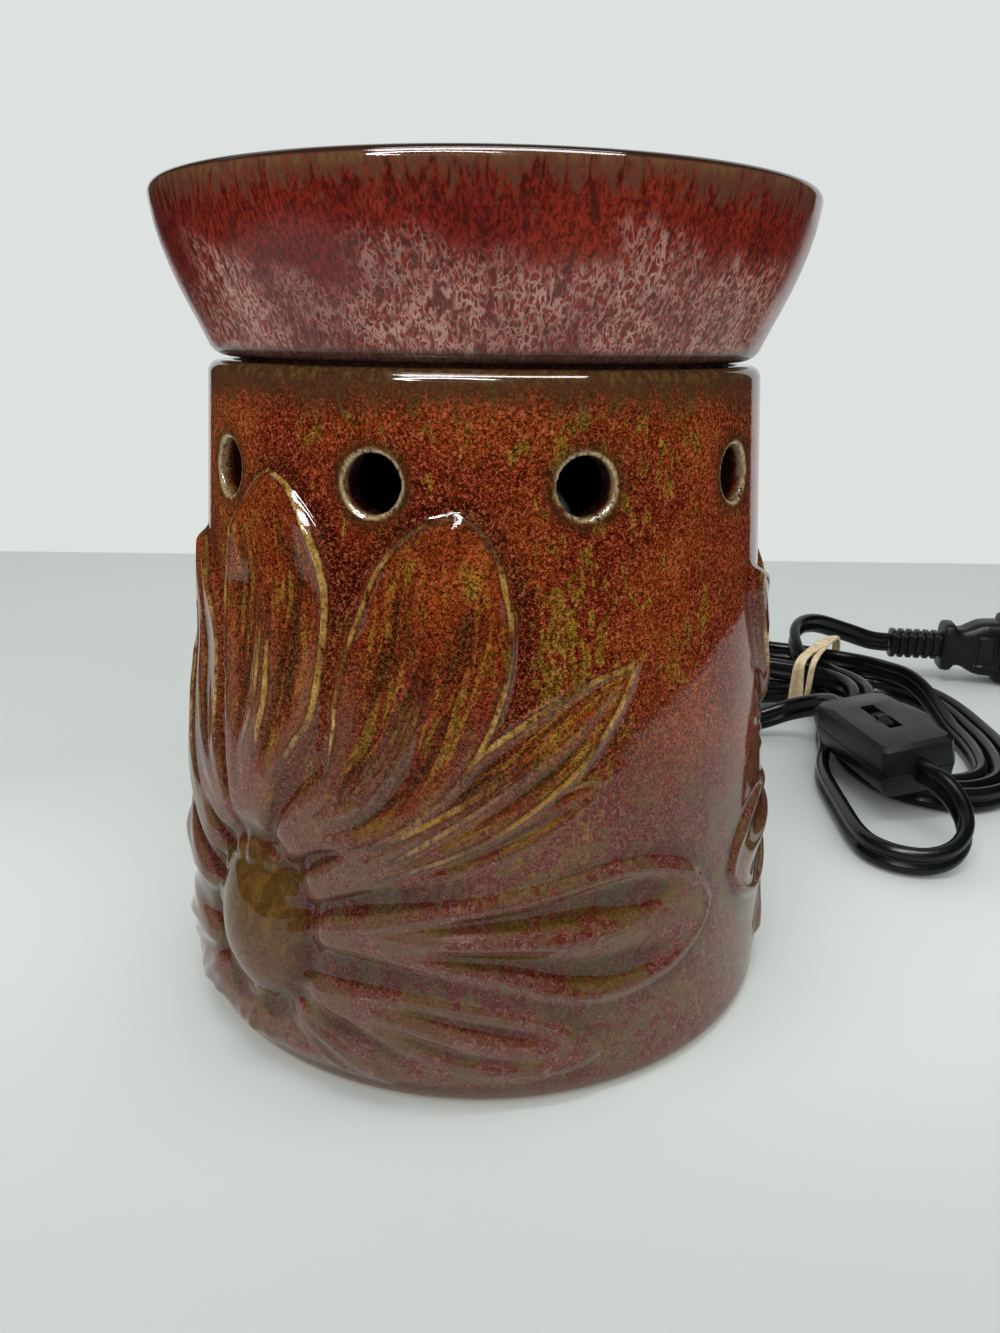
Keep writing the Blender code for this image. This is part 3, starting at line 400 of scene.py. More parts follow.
def dish_glaze():
    n = Net("dish_glaze", IOR=1.42)
    z = n.height()
    tall = n.at((1, 1, 0.26))
    even = n.at()
    broad = n.noise(even, 0.045, 2)
    streak = n.noise(tall, 0.55, 5, 0.65, 1)
    fine = n.noise(n.at((1, 1, 0.5)), 1.7, 3, 0.65, 0.6)
    color = n.mix(n.span(broad, 0.35, 0.65), (0.135, 0.008, 0.004), (0.205, 0.018, 0.008))
    color = n.times(color, n.span(fine, 0.36, 0.64, 0.5, 1.60))
    color = n.mix(n.product(n.span(streak, 0.46, 0.34), 0.8), color, (0.05, 0.01, 0.007))
    # pale run network, thickest in the lower half
    drift = n.moved(z, n.noise(even, 0.075, 3), 26)
    patch = n.product(n.span(drift, 142, 134.5, 0, 1), n.span(broad, 0.38, 0.58, 0.45, 1))
    warp = n.node("TexNoise", {"Vector": tall, "Scale": 0.8, "Detail": 4.0}, "Color")
    bent = n.node("VectorMath", {0: warp, "Scale": 3.2}, operation="SCALE")
    bent = n.node("VectorMath", {0: n.at((1, 1, 0.42)), 1: bent}, operation="ADD")
    cells = n.node("TexVoronoi", {"Vector": bent, "Scale": 1.02, "Randomness": 1.0},
                   "Distance", feature="DISTANCE_TO_EDGE")
    net = n.product(n.span(cells, 0.21, 0.02), n.span(streak, 0.38, 0.58, 0.1, 1))
    color = n.mix(n.product(net, patch), color, (0.57, 0.325, 0.26))
    color = n.mix(n.span(z, 146, 130, 0, 0.12), color, (0.22, 0.085, 0.07))
    # rim: dark, running down in streaks, with a broken golden line
    wave = n.moved(z, streak, 22)
    color = n.mix(n.span(wave, 145.5, 150, 0, 0.75), color, (0.125, 0.058, 0.034))
    gold = n.product(n.span(z, 149, 150.2), n.span(z, 151.1, 150.6))
    color = n.mix(n.product(gold, n.span(streak, 0.46, 0.62, 0, 0.7)), color, (0.17, 0.095, 0.034))
    color = n.mix(n.span(z, 150.8, 151.2, 0, 0.9), color, (0.026, 0.014, 0.01))
    color = n.mix(n.span(z, 126.6, 125.4, 0, 0.8), color, (0.045, 0.022, 0.018))
    n.bump(n.noise(even, 0.9, 2), 0.04, 0.4)
    return n.done(color, n.span(z, 145, 149.5, 0.2, 0.06))


def moulded(name, color, rough, grain=0.04, scale=3.0, vary=0.35, gloss=0.5):
    """Moulded plastic, vinyl or rubber: fine grain and a slight change of tone."""
    n = Net(name)
    n.shader.inputs["Specular IOR Level"].default_value = gloss
    tone = n.noise(n.at(), 0.08, 3)
    low = tuple(c * (1 - vary) for c in color)
    high = tuple(c * (1 + vary) for c in color)
    n.bump(n.noise(n.at(), scale, 2), grain, 0.6)
    shade = n.mix(n.span(tone, 0.35, 0.65), low, high)
    return n.done(shade, n.span(tone, 0.3, 0.7, rough - 0.06, rough + 0.06))


def metal(name, color, rough, stretch=(1, 1, 1), scale=2.0):
    """Plated or bare metal with fine drawing marks and dull spots."""
    n = Net(name, metallic=1.0)
    marks = n.noise(n.at(stretch), scale, 4, 0.65)
    dull = n.noise(n.at(), 0.12, 3)
    shade = n.mix(n.span(dull, 0.35, 0.7), color, tuple(c * 0.72 for c in color))
    n.bump(marks, 0.015, 0.5)
    return n.done(shade, n.span(marks, 0.3, 0.7, rough - 0.08, rough + 0.1))


def glass(name, color, rough, weight):
    n = Net(name, IOR=1.5)
    n.shader.inputs["Transmission Weight"].default_value = weight
    frost = n.noise(n.at(), 1.5, 3)
    shade = n.mix(frost, color, tuple(c * 0.94 for c in color))
    return n.done(shade, n.span(frost, 0.3, 0.7, rough, rough + 0.08))


def rubber_tan():
    n = Net("tan_rubber", roughness=0.5)
    tone = n.noise(n.at(), 0.35, 4)
    color = n.mix(n.span(tone, 0.35, 0.65), (0.62, 0.46, 0.24), (0.84, 0.68, 0.42))
    n.bump(n.noise(n.at(), 2, 3), 0.06, 0.6)
    return n.done(color, n.span(tone, 0.3, 0.7, 0.42, 0.6))


# shapes

def ease(x):
    x = np.clip(x, 0.0, 1.0)
    return x * x * (3 - 2 * x)


def bridged(a, b, c, d, t):
    """A point between b and c of a smooth curve through a, b, c and d."""
    square, cube = 2 * a - 5 * b + 4 * c - d, 3 * b - a - 3 * c + d
    return 0.5 * (2 * b + (c - a) * t + square * t * t + cube * t ** 3)


def travelled(points):
    """Distance along a line of points, at each of them."""
    return np.concatenate([[0], np.cumsum(np.linalg.norm(np.diff(points, axis=0), axis=1))])


def length_of(points):
    return float(travelled(points)[-1])


def respaced(points, count):
    """The same line in points that are evenly spaced."""
    run = travelled(points)
    at = np.linspace(0, run[-1], count)
    return np.stack([np.interp(at, run, points[:, k]) for k in range(points.shape[1])], 1)


def course(route, count, closed=False):
    """Points evenly spaced along a smooth curve through a route."""
    r = [np.array(p, float) for p in route]
    r = [r[-1]] + r + [r[0], r[1]] if closed else [2 * r[0] - r[1]] + r + [2 * r[-1] - r[-2]]
    fine = [bridged(*r[i - 1:i + 3], k / 30) for i in range(1, len(r) - 2) for k in range(30)]
    return respaced(np.array(fine + [r[-2]]), count)


def linked(name, data):
    ob = bpy.data.objects.new(name, data)
    bpy.context.scene.collection.objects.link(ob)
    return ob


def mesh_piece(name, verts, faces, mat, body, smooth):
    """A mesh object from points in millimetres, riding on a body, its faces turned outward."""
    me = bpy.data.meshes.new(name)
    me.from_pydata([tuple(v) for v in np.asarray(verts) * MM], [], faces)
    me.validate()
    ob = piece(name, me, mat, body, smooth)
    outward(ob)
    return ob


def piece(name, me, mat, body, smooth):
    me.shade_smooth()
    me.set_sharp_from_angle(angle=math.radians(smooth))
    ob = linked(name, me)
    me.materials.clear()
    me.materials.append(mat)
    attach(ob, body)
    return ob


def grid_faces(rows, columns, close_rows=False):
    """Faces between rows of points that each close on themselves."""
    out = []
    for i in range(rows if close_rows else rows - 1):
        a, b = i * columns, (i + 1) % rows * columns
        for j in range(columns):
            k = (j + 1) % columns
            out.append((a + j, a + k, b + k, b + j))
    return out


def loft(sections):
    """Points and faces of a skin over closed sections, with its ends filled."""
    s = np.asarray(sections, float)
    rows, n = s.shape[:2]
    faces = grid_faces(rows, n)
    faces += [tuple(reversed(range(n))), tuple(range((rows - 1) * n, rows * n))]
    return s.reshape(-1, 3), faces


def outward(ob):
    bm = bmesh.new()
    bm.from_mesh(ob.data)
    bmesh.ops.recalc_face_normals(bm, faces=bm.faces)
    bm.to_mesh(ob.data)
    bm.free()


def rounded(half_w, half_h, sides, power):
    """A closed outline between an ellipse and a box."""
    a = 2 * math.pi * (np.arange(sides) + 0.5) / sides
    c, s = np.cos(a), np.sin(a)
    return np.stack([half_w * np.sign(c) * np.abs(c) ** power, half_h * np.sign(s) * np.abs(s) ** power], 1)


def body_radius(z):
    return BODY_R_FOOT + (BODY_R_TOP - BODY_R_FOOT) * z / BODY_TOP


# the moulded shell

def flower_fields(a, b):
    """Height over the shell and what the glaze needs to know, at points a across and b above the centre."""
    shape = a.shape
    a, b = a.ravel(), b.ravel()
    far = np.hypot(a / 1.15, b)
    mound = 2.9 * (1 - ease((far - 14) / 56))
    rise = np.zeros_like(a)
    lines = np.zeros_like(a)
    inside = np.zeros_like(a)
    flow = np.zeros((len(a), 3))
    for number, (stations, root, tip, gilt) in enumerate(PETALS):
        mid = course(stations, 70)
        low, top = mid.min(0), mid.max(0)
        reach = top[2] + 2.5
        sel = np.flatnonzero((a > low[0] - reach) & (a < top[0] + reach)
                             & (b > low[1] - reach) & (b < top[1] + reach))
        p = np.stack([a[sel], b[sel]], 1)
        seg = mid[1:, :2] - mid[:-1, :2]
        length = np.linalg.norm(seg, axis=1)
        best = np.full(len(sel), 1e9)
        s = np.zeros(len(sel))
        wide = np.zeros(len(sel))
        side = np.ones(len(sel))
        run = np.concatenate([[0], np.cumsum(length)])
        for k in range(len(seg)):
            rel = p - mid[k, :2]
            t = np.clip(rel @ seg[k] / length[k] ** 2, 0, 1)
            gap = np.linalg.norm(rel - t[:, None] * seg[k], axis=1)
            near = gap < best
            best[near] = gap[near]
            s[near] = (run[k] + t[near] * length[k]) / run[-1]
            wide[near] = mid[k, 2] + t[near] * (mid[k + 1, 2] - mid[k, 2])
            side[near] = np.sign(rel[near, 0] * seg[k, 1] - rel[near, 1] * seg[k, 0])
        depth = wide - best
        q = best / np.maximum(wide, 0.8)
        big = np.clip(mid[:, 2].max() / 12.0, 0.4, 1.0)
        # the lower petals are broad and soft, each half of them a deep hollow
        low_lying = 1.0 if mid[-1, 1] < 25 else 0.0
        upright = 1.0 if mid[-1, 1] > 60 else 0.0
        soft = 1.1 + 1.2 * (1 - s) + 1.6 * low_lying
        crisp = ease((depth + 0.4) / soft)
        edge = ease((depth + 0.4) / (soft + 3.2 * upright * ease((s - 0.84) / 0.12)))
        lip = np.exp(-((depth - 0.9 - 0.7 * low_lying) / (0.62 + 0.7 * low_lying)) ** 2)
        lip = lip * ease((s - 0.15) / 0.25)
        rib = np.exp(-((best - 2.2 * (1 - s) * (1 - low_lying)) / (0.6 + 0.5 * low_lying)) ** 2)
        rib = rib * ease((0.78 - s) / 0.3) * ease((s - 0.2) / 0.2)
        deep = 1.9 - 0.7 * s if low_lying else 0.85 - 0.35 * s
        hollow = np.exp(-((q - 0.50) / 0.30) ** 2) * ease((s - 0.16) / 0.3) * deep
        hollow = hollow * (1 - low_lying * ease((s - 0.72) / 0.2))
        veins = np.cos(q * 11.0) * ease((0.9 - s) / 0.5) * ease((s - 0.1) / 0.2)
        up = root + (tip - root) * s ** 0.8
        up = up + big * (0.72 * lip + 0.5 * rib - 1.25 * hollow + 0.12 * veins)
        # the big upright petals end in a thick, rounded tip
        up = up + 1.5 * upright * ease((s - 0.62) / 0.3)
        rise[sel] += (up - rise[sel]) * edge + 0.35 * upright * lip * (crisp - edge)
        lines[sel] *= 1 - crisp
        lines[sel] += np.maximum(lip, 0.85 * rib) * crisp * gilt
        inside[sel] = np.maximum(inside[sel], crisp)
        take = edge > 0.5
        along = np.stack([best * side + 40 * number, s * run[-1], np.full(len(sel), number * 7.3)], 1)
        flow[sel[take]] = along[take]
    high = mound + rise
    rho = np.hypot(a / DISC_HALF[0], b / DISC_HALF[1])
    dome = 7.4 * np.clip(1 - (rho / 1.2) ** 2, 0, 1)
    ring = 1 - 0.42 * np.exp(-((rho - 1.10) / 0.22) ** 2)
    high = np.maximum(high * ring, dome)
    disc = ease((1.10 - rho) / 0.25)
    lines *= 1 - disc
    return [field.reshape(shape) for field in (high, lines, inside, disc)] + [flow.reshape(*shape, 3)]


def blurred(field, sigma_rows, sigma_columns):
    """Gaussian blur of a field that wraps round its columns."""
    for axis, sigma in ((0, sigma_rows), (1, sigma_columns)):
        reach = int(3 * sigma) + 1
        kernel = np.exp(-0.5 * (np.arange(-reach, reach + 1) / sigma) ** 2)
        kernel /= kernel.sum()
        mode = "edge" if axis == 0 else "wrap"
        pad = [(reach, reach) if k == axis else (0, 0) for k in (0, 1)]
        wide = np.pad(field, pad, mode=mode)
        size = field.shape[axis]
        parts = [w * np.take(wide, range(k, k + size), axis=axis) for k, w in enumerate(kernel)]
        field = np.sum(parts, axis=0)
    return field


def shell_fields():
    """Relief of the shell on a lattice of heights and angles, with the fields its glaze reads."""
    zs = np.arange(OUTER_Z[0], OUTER_Z[1], -ROW_STEP)
    phis = -180 + 360 * np.arange(COLUMNS) / COLUMNS
    phi, z = np.meshgrid(phis, zs)
    out = {k: np.zeros(z.shape) for k in ("high", "lines", "petal", "disc", "runs")}
    flow = np.zeros((*z.shape, 3))
    for turn in FLOWER_TURNS:
        d = (phi - FLOWER_PHI - turn + 180.0) % 360.0 - 180.0
        found = flower_fields(np.radians(d) * body_radius(z), z - FLOWER_Z)
        over = found[0] > out["high"]
        for key, value in zip(("high", "lines", "petal", "disc"), found):
            out[key] = np.where(over, value, out[key])
        flow[over] = found[4][over]
        thick = np.exp(-((d - RUNS_AT[0]) / RUNS_SPREAD[0]) ** 2 - ((z - RUNS_AT[1]) / RUNS_SPREAD[1]) ** 2)
        out["runs"] = np.maximum(out["runs"], thick)
    back = np.radians(np.abs((phi + 360.0) % 360.0 - 180.0)) * 60.0
    calm = ease((z - 1.5) / 6.0) * np.maximum(ease((back - 11.0) / 8.0), ease((z - 18.0) / 8.0))
    step = 2 * math.pi * 57.0 / COLUMNS
    out["high"] = blurred(out["high"] * calm, 0.42 / ROW_STEP, 0.42 / step)
    vent = np.full(z.shape, 1e9)
    for k in range(VENT_COUNT):
        d = (phi - 360.0 * (k + 0.5) / VENT_COUNT + 180.0) % 360.0 - 180.0
        vent = np.minimum(vent, np.hypot(np.radians(d) * body_radius(z), z - VENT_Z))
    dip = np.clip(VENT_R + VENT_LIP - vent, 0, VENT_LIP)
    out["high"] -= VENT_LIP - np.sqrt(VENT_LIP ** 2 - np.minimum(dip, 0.995 * VENT_LIP) ** 2)
    out["vent"] = np.exp(-np.clip(vent - VENT_R - 0.6, 0, None) / 2.2)
    out["vent_lip"] = np.exp(-((vent - VENT_R - 0.30) / 0.26) ** 2)
    small = blurred(out["high"], 0.5 / ROW_STEP, 0.5 / step)
    large = blurred(out["high"], 2.6 / ROW_STEP, 2.6 / step)
    out["cavity"] = np.clip((small - large) / 0.7, -1, 1)
    return zs, out, flow


def spun(r, z, columns):
    """Rows of points round the z axis, at radii and heights."""
    phi = np.radians(-180 + 360 * np.arange(columns) / columns)
    return np.stack([r * np.sin(phi), -r * np.cos(phi), z + 0 * phi], 2).reshape(-1, 3)


def turned(profile, columns):
    return spun(*np.array(profile, float).T[:, :, None], columns)


def make_body(mat):
    zs, fields, flow = shell_fields()
    low, bend, mouth = INNER_Z
    inner = [(body_radius(z) - WALL, z) for z in np.linspace(low, bend, 9)]
    r = body_radius(bend) - WALL
    inner += [(r + (MOUTH_R - r) * t, bend + (mouth - bend) * t) for t in np.linspace(0.08, 0.96, 11)]
    before, after = turned(RIM, COLUMNS), turned([*FOOT, *inner], COLUMNS)
    outer = spun(body_radius(zs)[:, None] + fields["high"], zs[:, None], COLUMNS)
    verts = np.concatenate([before, outer, after])
    me = bpy.data.meshes.new("shell")
    me.from_pydata([tuple(v) for v in verts * MM], [], grid_faces(len(verts) // COLUMNS, COLUMNS, True))
    ob = linked("shell", me)
    outward(ob)
    tools = [vent_cutter(k) for k in range(VENT_COUNT)] + [notch_cutter()]
    for tool in tools:
        cut = ob.modifiers.new("cut", "BOOLEAN")
        cut.operation = "DIFFERENCE"
        cut.solver = "MANIFOLD"
        cut.object = tool
    made = bpy.data.meshes.new_from_object(ob.evaluated_get(bpy.context.evaluated_depsgraph_get()))
    for old in [ob] + tools:
        bpy.data.objects.remove(old, do_unlink=True)
    glaze_fields(made, zs, fields, flow)
    made.name = "glazed_shell"
    shell = piece("glazed_shell", made, mat, "warmer", 48.0)
    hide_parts("warmer_body")


def vent_cutter(k):
    a = 2 * math.pi * np.arange(VENT_SIDES) / VENT_SIDES
    ring = np.stack([VENT_R * np.cos(a), VENT_R * np.sin(a), 0 * a], 1)
    turn = Matrix.Rotation(2 * math.pi * (k + 0.5) / VENT_COUNT, 4, "Z")
    out = Matrix.Translation(Vector((0, -body_radius(VENT_Z), VENT_Z)) * MM)
    return cutter([ring + (0, 0, h) for h in np.arange(-VENT_LONG, VENT_LONG + 0.1, 0.75)],
                  turn @ out @ Matrix.Rotation(math.pi / 2, 4, "X"))


def notch_cutter():
    half = NOTCH_HALF
    arch = [(half * math.cos(a), LEAD_HIGH + half * math.sin(a)) for a in np.linspace(0, math.pi, 25)]
    arch = [(half, -2.0), *arch, (-half, -2.0)]
    return cutter([[(x, y, z) for x, z in arch] for y in NOTCH_Y], Matrix())


def cutter(sections, place):
    """A solid to cut with, over sections in a row."""
    verts, faces = loft(sections)
    me = bpy.data.meshes.new("cutter")
    me.from_pydata([Vector(v) * MM for v in verts], [], faces)
    me.transform(place)
    ob = linked("cutter", me)
    outward(ob)
    ob.hide_render = True
    return ob


def glaze_fields(me, zs, fields, flow):
    """Store the shell's fields on the points of the cut mesh."""
    co = np.zeros(len(me.vertices) * 3)
    me.vertices.foreach_get("co", co)
    co = co.reshape(-1, 3) / MM
    r, z = np.hypot(co[:, 0], co[:, 1]), co[:, 2]
    phi = np.degrees(np.arctan2(co[:, 0], -co[:, 1]))
    i = np.clip((zs[0] - z) / ROW_STEP, 0, len(zs) - 1.001)
    j = (phi + 180.0) / 360.0 * COLUMNS
    i0, j0 = i.astype(int), np.floor(j).astype(int)
    fi, fj = i - i0, j - j0

    def sampled(field):
        a, b = field[i0, j0 % COLUMNS], field[i0, (j0 + 1) % COLUMNS]
        c, d = field[i0 + 1, j0 % COLUMNS], field[i0 + 1, (j0 + 1) % COLUMNS]
        return (a * (1 - fj) + b * fj) * (1 - fi) + (c * (1 - fj) + d * fj) * fi

    deep = body_radius(z) + sampled(fields["high"]) - r
    outer = (r > body_radius(z) - 3.5) & (z > OUTER_Z[1] - 0.2) & (deep < 0.9)
    stored = {key: np.where(outer, sampled(field), 0) for key, field in fields.items() if key != "high"}
    stored["inside"] = ease((deep - 0.7) / 1.4) * ((z > 6.0) & (z < 121.8))
    for key, value in stored.items():
        attr = me.attributes.new(key, "FLOAT", "POINT")
        attr.data.foreach_set("value", value.astype(np.float32))
    near = flow[np.round(i).astype(int), np.round(j).astype(int) % COLUMNS]
    attr = me.attributes.new("flow", "FLOAT_VECTOR", "POINT")
    attr.data.foreach_set("vector", near.astype(np.float32).ravel())


def make_dish(mat):
    fine = []
    for a, b in zip(DISH_PROFILE, DISH_PROFILE[1:]):
        steps = max(1, int(math.hypot(b[0] - a[0], b[1] - a[1]) / 1.2))
        fine += [(a[0] + (b[0] - a[0]) * k / steps, a[1] + (b[1] - a[1]) * k / steps) for k in range(steps)]
    fine.append(DISH_PROFILE[-1])
    verts = turned(fine, DISH_COLUMNS)
    faces = grid_faces(len(fine), DISH_COLUMNS)
    first, last = len(verts), len(verts) + 1
    verts = np.concatenate([verts, [(0, 0, z) for z in DISH_MIDDLE_Z]])
    end = (len(fine) - 1) * DISH_COLUMNS
    for j in range(DISH_COLUMNS):
        k = (j + 1) % DISH_COLUMNS
        faces.append((first, k, j))
        faces.append((last, end + j, end + k))
    dish = mesh_piece("glazed_dish", verts, faces, mat, "dish", 50.0)
    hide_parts("melting_dish")


def make_bulb(mat):
    """The lamp's glass, turned smooth on the profile of its CAD solid."""
    profile = np.concatenate([course(BULB_OUTER, BULB_ROWS), course(BULB_INNER, BULB_ROWS)])
    verts = turned(profile, BULB_COLUMNS)
    faces = grid_faces(len(profile), BULB_COLUMNS)
    last = len(verts) - BULB_COLUMNS
    faces.append(tuple(range(BULB_COLUMNS)))
    faces.append(tuple(range(last, last + BULB_COLUMNS)))
    ob = mesh_piece("lamp_glass", verts, faces, mat, "lamp", 60.0)
    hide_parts("bulb_glass")


# lead, hank and what is on them

def hank_points(per_turn):
    """The course of the hank: loops side by side, gathered in two layers at the waist."""
    many = per_turn * 20
    base = course(LOOP, many + 1, closed=True)[:-1]
    head = np.roll(base, -1, 0) - np.roll(base, 1, 0)
    head /= np.linalg.norm(head, axis=1)[:, None]
    out = np.stack([head[:, 1], -head[:, 0]], 1)
    around = np.sum(base[:, 0] * np.roll(base[:, 1], -1) - np.roll(base[:, 0], -1) * base[:, 1])
    out *= math.copysign(1.0, around)
    points = []
    for k in range(int(round(HANK_END * per_turn)) + 1):
        turn = k / per_turn
        i = int(round((turn % 1.0) * many)) % many
        near = math.hypot(base[i, 0] - WAIST[0], base[i, 1] - WAIST[1])
        gather = ease((WAIST_IN - near) / (WAIST_IN - 8.0))
        climb = ease((WAIST_OUT - near) / (WAIST_OUT - WAIST_IN))
        n = int(turn + 1e-9)
        aside = (1 - gather) * HANK_STEP * (1.5 - turn) + gather * WAIST_COLUMN[n]
        z = CORD_REST + climb * (WAIST_LIFT + WAIST_LAYER[n] * LAYER_RISE)
        points.append((base[i, 0] + out[i, 0] * aside, base[i, 1] + out[i, 1] * aside, z))
    return np.array(points)


def switch_matrix():
    yaw = Matrix.Rotation(math.radians(SWITCH_YAW), 4, "Z")
    return Matrix.Translation(Vector(SWITCH_AT)) @ (yaw @ Matrix.Rotation(math.radians(SWITCH_LEAN), 4, "X"))


def plug_matrix():
    return Matrix.Translation(Vector(PLUG_AT)) @ Matrix.Rotation(math.radians(PLUG_YAW), 4, "Z")


def lead_route():
    """Back of the body to the switch."""
    into = switch_matrix() @ Vector((-SWITCH_LONG / 2 - 0.4, 0, 8))
    back = switch_matrix().to_3x3() @ Vector((-1, 0, 0))
    lead = [(0, 88.3, LEAD_HIGH), (0, 98, 7.0), (4, 110, 5.4), (16, 121, CORD_REST), (34, 123, CORD_REST),
            (55, 118, CORD_REST), (75, 113, CORD_REST), (90, 112.5, 5.6), (101, 112, 9.6), (108, 106.5, 13.6)]
    lead += [into + back * 9, into + back * 4, into]
    return on_table(course(lead, 190))


def long_route():
    """Switch to the plug: the loop in front, the hank, and the tail over the far strands."""
    m = switch_matrix()
    out = m @ Vector((SWITCH_LONG / 2 + 0.4, 0, 8))
    ahead = m.to_3x3() @ Vector((1, 0, 0))
    hank = hank_points(HANK_POINTS)
    first, last = Vector(hank[0]), Vector(hank[-1])
    head = (first - Vector(hank[1])).normalized()
    head.z = 0.0
    loop = [out, out + ahead * 4, (122, 42, 15.6), (124.2, 37.5, 13.4), (124.8, 32, 10.4),
            (123, 26.5, 7.4), (118, 21.7, 5.2), (111.5, 20, 4.1), (105, 21.7, CORD_REST),
            (100.2, 26.5, CORD_REST), (98.5, 33.5, CORD_REST), (98.8, 47, CORD_REST), (100.8, 72, CORD_REST)]
    loop += [first + head * 8.4 - Vector((0, 0, 0.4)), first + head * 4.4, first + head * 0.4]
    head = (last - Vector(hank[-2])).normalized()
    plug = Vector(PLUG_AT)
    inward = plug_matrix().to_3x3() @ Vector((-1, 0, 0))
    tail = [last + head * 0.4, last + head * 4.4, (114.9, 148.5, 15.4), (113.8, 156.5, 19.8),
            (115.8, 163.8, 22.5), (120.6, 170, 23.4), (128.2, 175.6, 22.2), (138, 179, 18.6),
            (147.5, 180.2, 15.4)]
    tail += [plug + inward * 7.9, plug + inward * 4.2, plug + inward * 0.4]
    tail = course(tail, 90)
    for _ in range(TAIL_EASING):
        tail[1:-1] += 0.25 * (tail[:-2] + tail[2:] - 2 * tail[1:-1])
    whole = np.concatenate([course(loop, 120), hank_points(HANK_FINE)[1:-1], tail])
    return on_table(respaced(whole, int(length_of(whole) / CORD_STEP)))


def on_table(points):
    points[:, 2] = np.maximum(points[:, 2], CORD_REST)
    return points


def lead_section():
    """Two round cores side by side in one jacket, with a groove along each flat side."""
    out = []
    for a in 2 * math.pi * (np.arange(32) + 0.5) / 32:
        wide = CORD_WIDE / 2 * math.sin(a)
        lobe = CORD_THICK / 2
        off = abs(wide) - (CORD_WIDE / 2 - lobe)
        thick = math.sqrt(max(lobe ** 2 - off ** 2, 0.0)) if abs(wide) > 0.70 else 0.50 * lobe
        out.append((math.copysign(thick, math.cos(a)), wide))
    return np.array(out)


def swept(points, section):
    """A section carried along points, its second axis held as near upright as the course allows."""
    head = np.gradient(points, axis=0)
    head /= np.linalg.norm(head, axis=1)[:, None]
    side = np.cross(head, (0.0, 0.0, 1.0))
    side /= np.linalg.norm(side, axis=1)[:, None]
    up = np.cross(side, head)
    return points[:, None] + side[:, None] * section[None, :, :1] + up[:, None] * section[None, :, 1:]


def make_cords(vinyl):
    section = lead_section()
    made = []
    for name, path in (("lead_to_switch", lead_route()), ("lead_to_plug", long_route())):
        verts, faces = loft(swept(path, section))
        ob = mesh_piece(name, verts, faces, vinyl, "warmer", 60.0)
        made.append((ob, path))
    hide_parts("cord_lead")
    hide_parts("cord_front_loop", "cord_hank", "cord_plug_lead")
    return made


def make_band(mat):
    """A rubber band drawn round the waist of the hank in four turns that twist over each other."""
    cross = np.array((*BAND_CROSS, 0.0)) / math.hypot(*BAND_CROSS)
    along = np.array((cross[1], -cross[0], 0.0))
    wide, high = BAND_ROUND
    ring = course(rounded(wide, high, 28, 0.38), 161, closed=True)[:-1]
    middle = np.array((*WAIST, 10.7)) - 0.65 * cross
    n = len(ring)
    verts, faces = [], []
    for turn, (shift, swing, phase, grow) in enumerate(BAND_TURNS):
        start = len(verts)
        for k in range(n):
            t = 2 * math.pi * k / n
            u, w = ring[k]
            normal = np.array((u / wide ** 2, w / high ** 2))
            normal /= np.linalg.norm(normal)
            roll = 0.55 * math.sin(2 * t + 1.7 * turn)
            for x, h in rounded(*BAND_HALF, 12, 0.7):
                aside = x * math.cos(roll) - h * math.sin(roll)
                lift = grow + 0.75 + x * math.sin(roll) + h * math.cos(roll)
                p = middle + (u + normal[0] * lift) * cross + np.array((0, 0, w + normal[1] * lift))
                gather = 0.65 - 0.45 * u / wide
                slant = BAND_SLANT * u / wide
                verts.append(p + along * (aside + slant + gather * (shift + swing * math.sin(t + phase))))
        faces += [tuple(start + i for i in f) for f in grid_faces(n, 12, True)]
    verts = np.array(verts)
    verts[:, 2] = np.maximum(verts[:, 2], 0.1)
    ob = mesh_piece("rubber_band_turns", verts, faces, mat, "warmer", 60.0)
    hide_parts("rubber_band")
    return ob


def softened(node, name, mat, body, width):
    """A copy of a CAD node with its hard edges rounded over."""
    me = NODES[node].data.copy()
    ob = piece(name, me, mat, body, 35.0)
    bm = bmesh.new()
    bm.from_mesh(me)
    bmesh.ops.remove_doubles(bm, verts=bm.verts, dist=0.00001)
    bmesh.ops.dissolve_limit(bm, angle_limit=math.radians(2.0), verts=bm.verts, edges=bm.edges)
    bm.to_mesh(me)
    bm.free()
    bevel = ob.modifiers.new("edges", "BEVEL")
    bevel.width = width * MM
    bevel.segments = 3
    bevel.limit_method = "ANGLE"
    bevel.angle_limit = math.radians(28.0)
    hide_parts(node)
    return ob


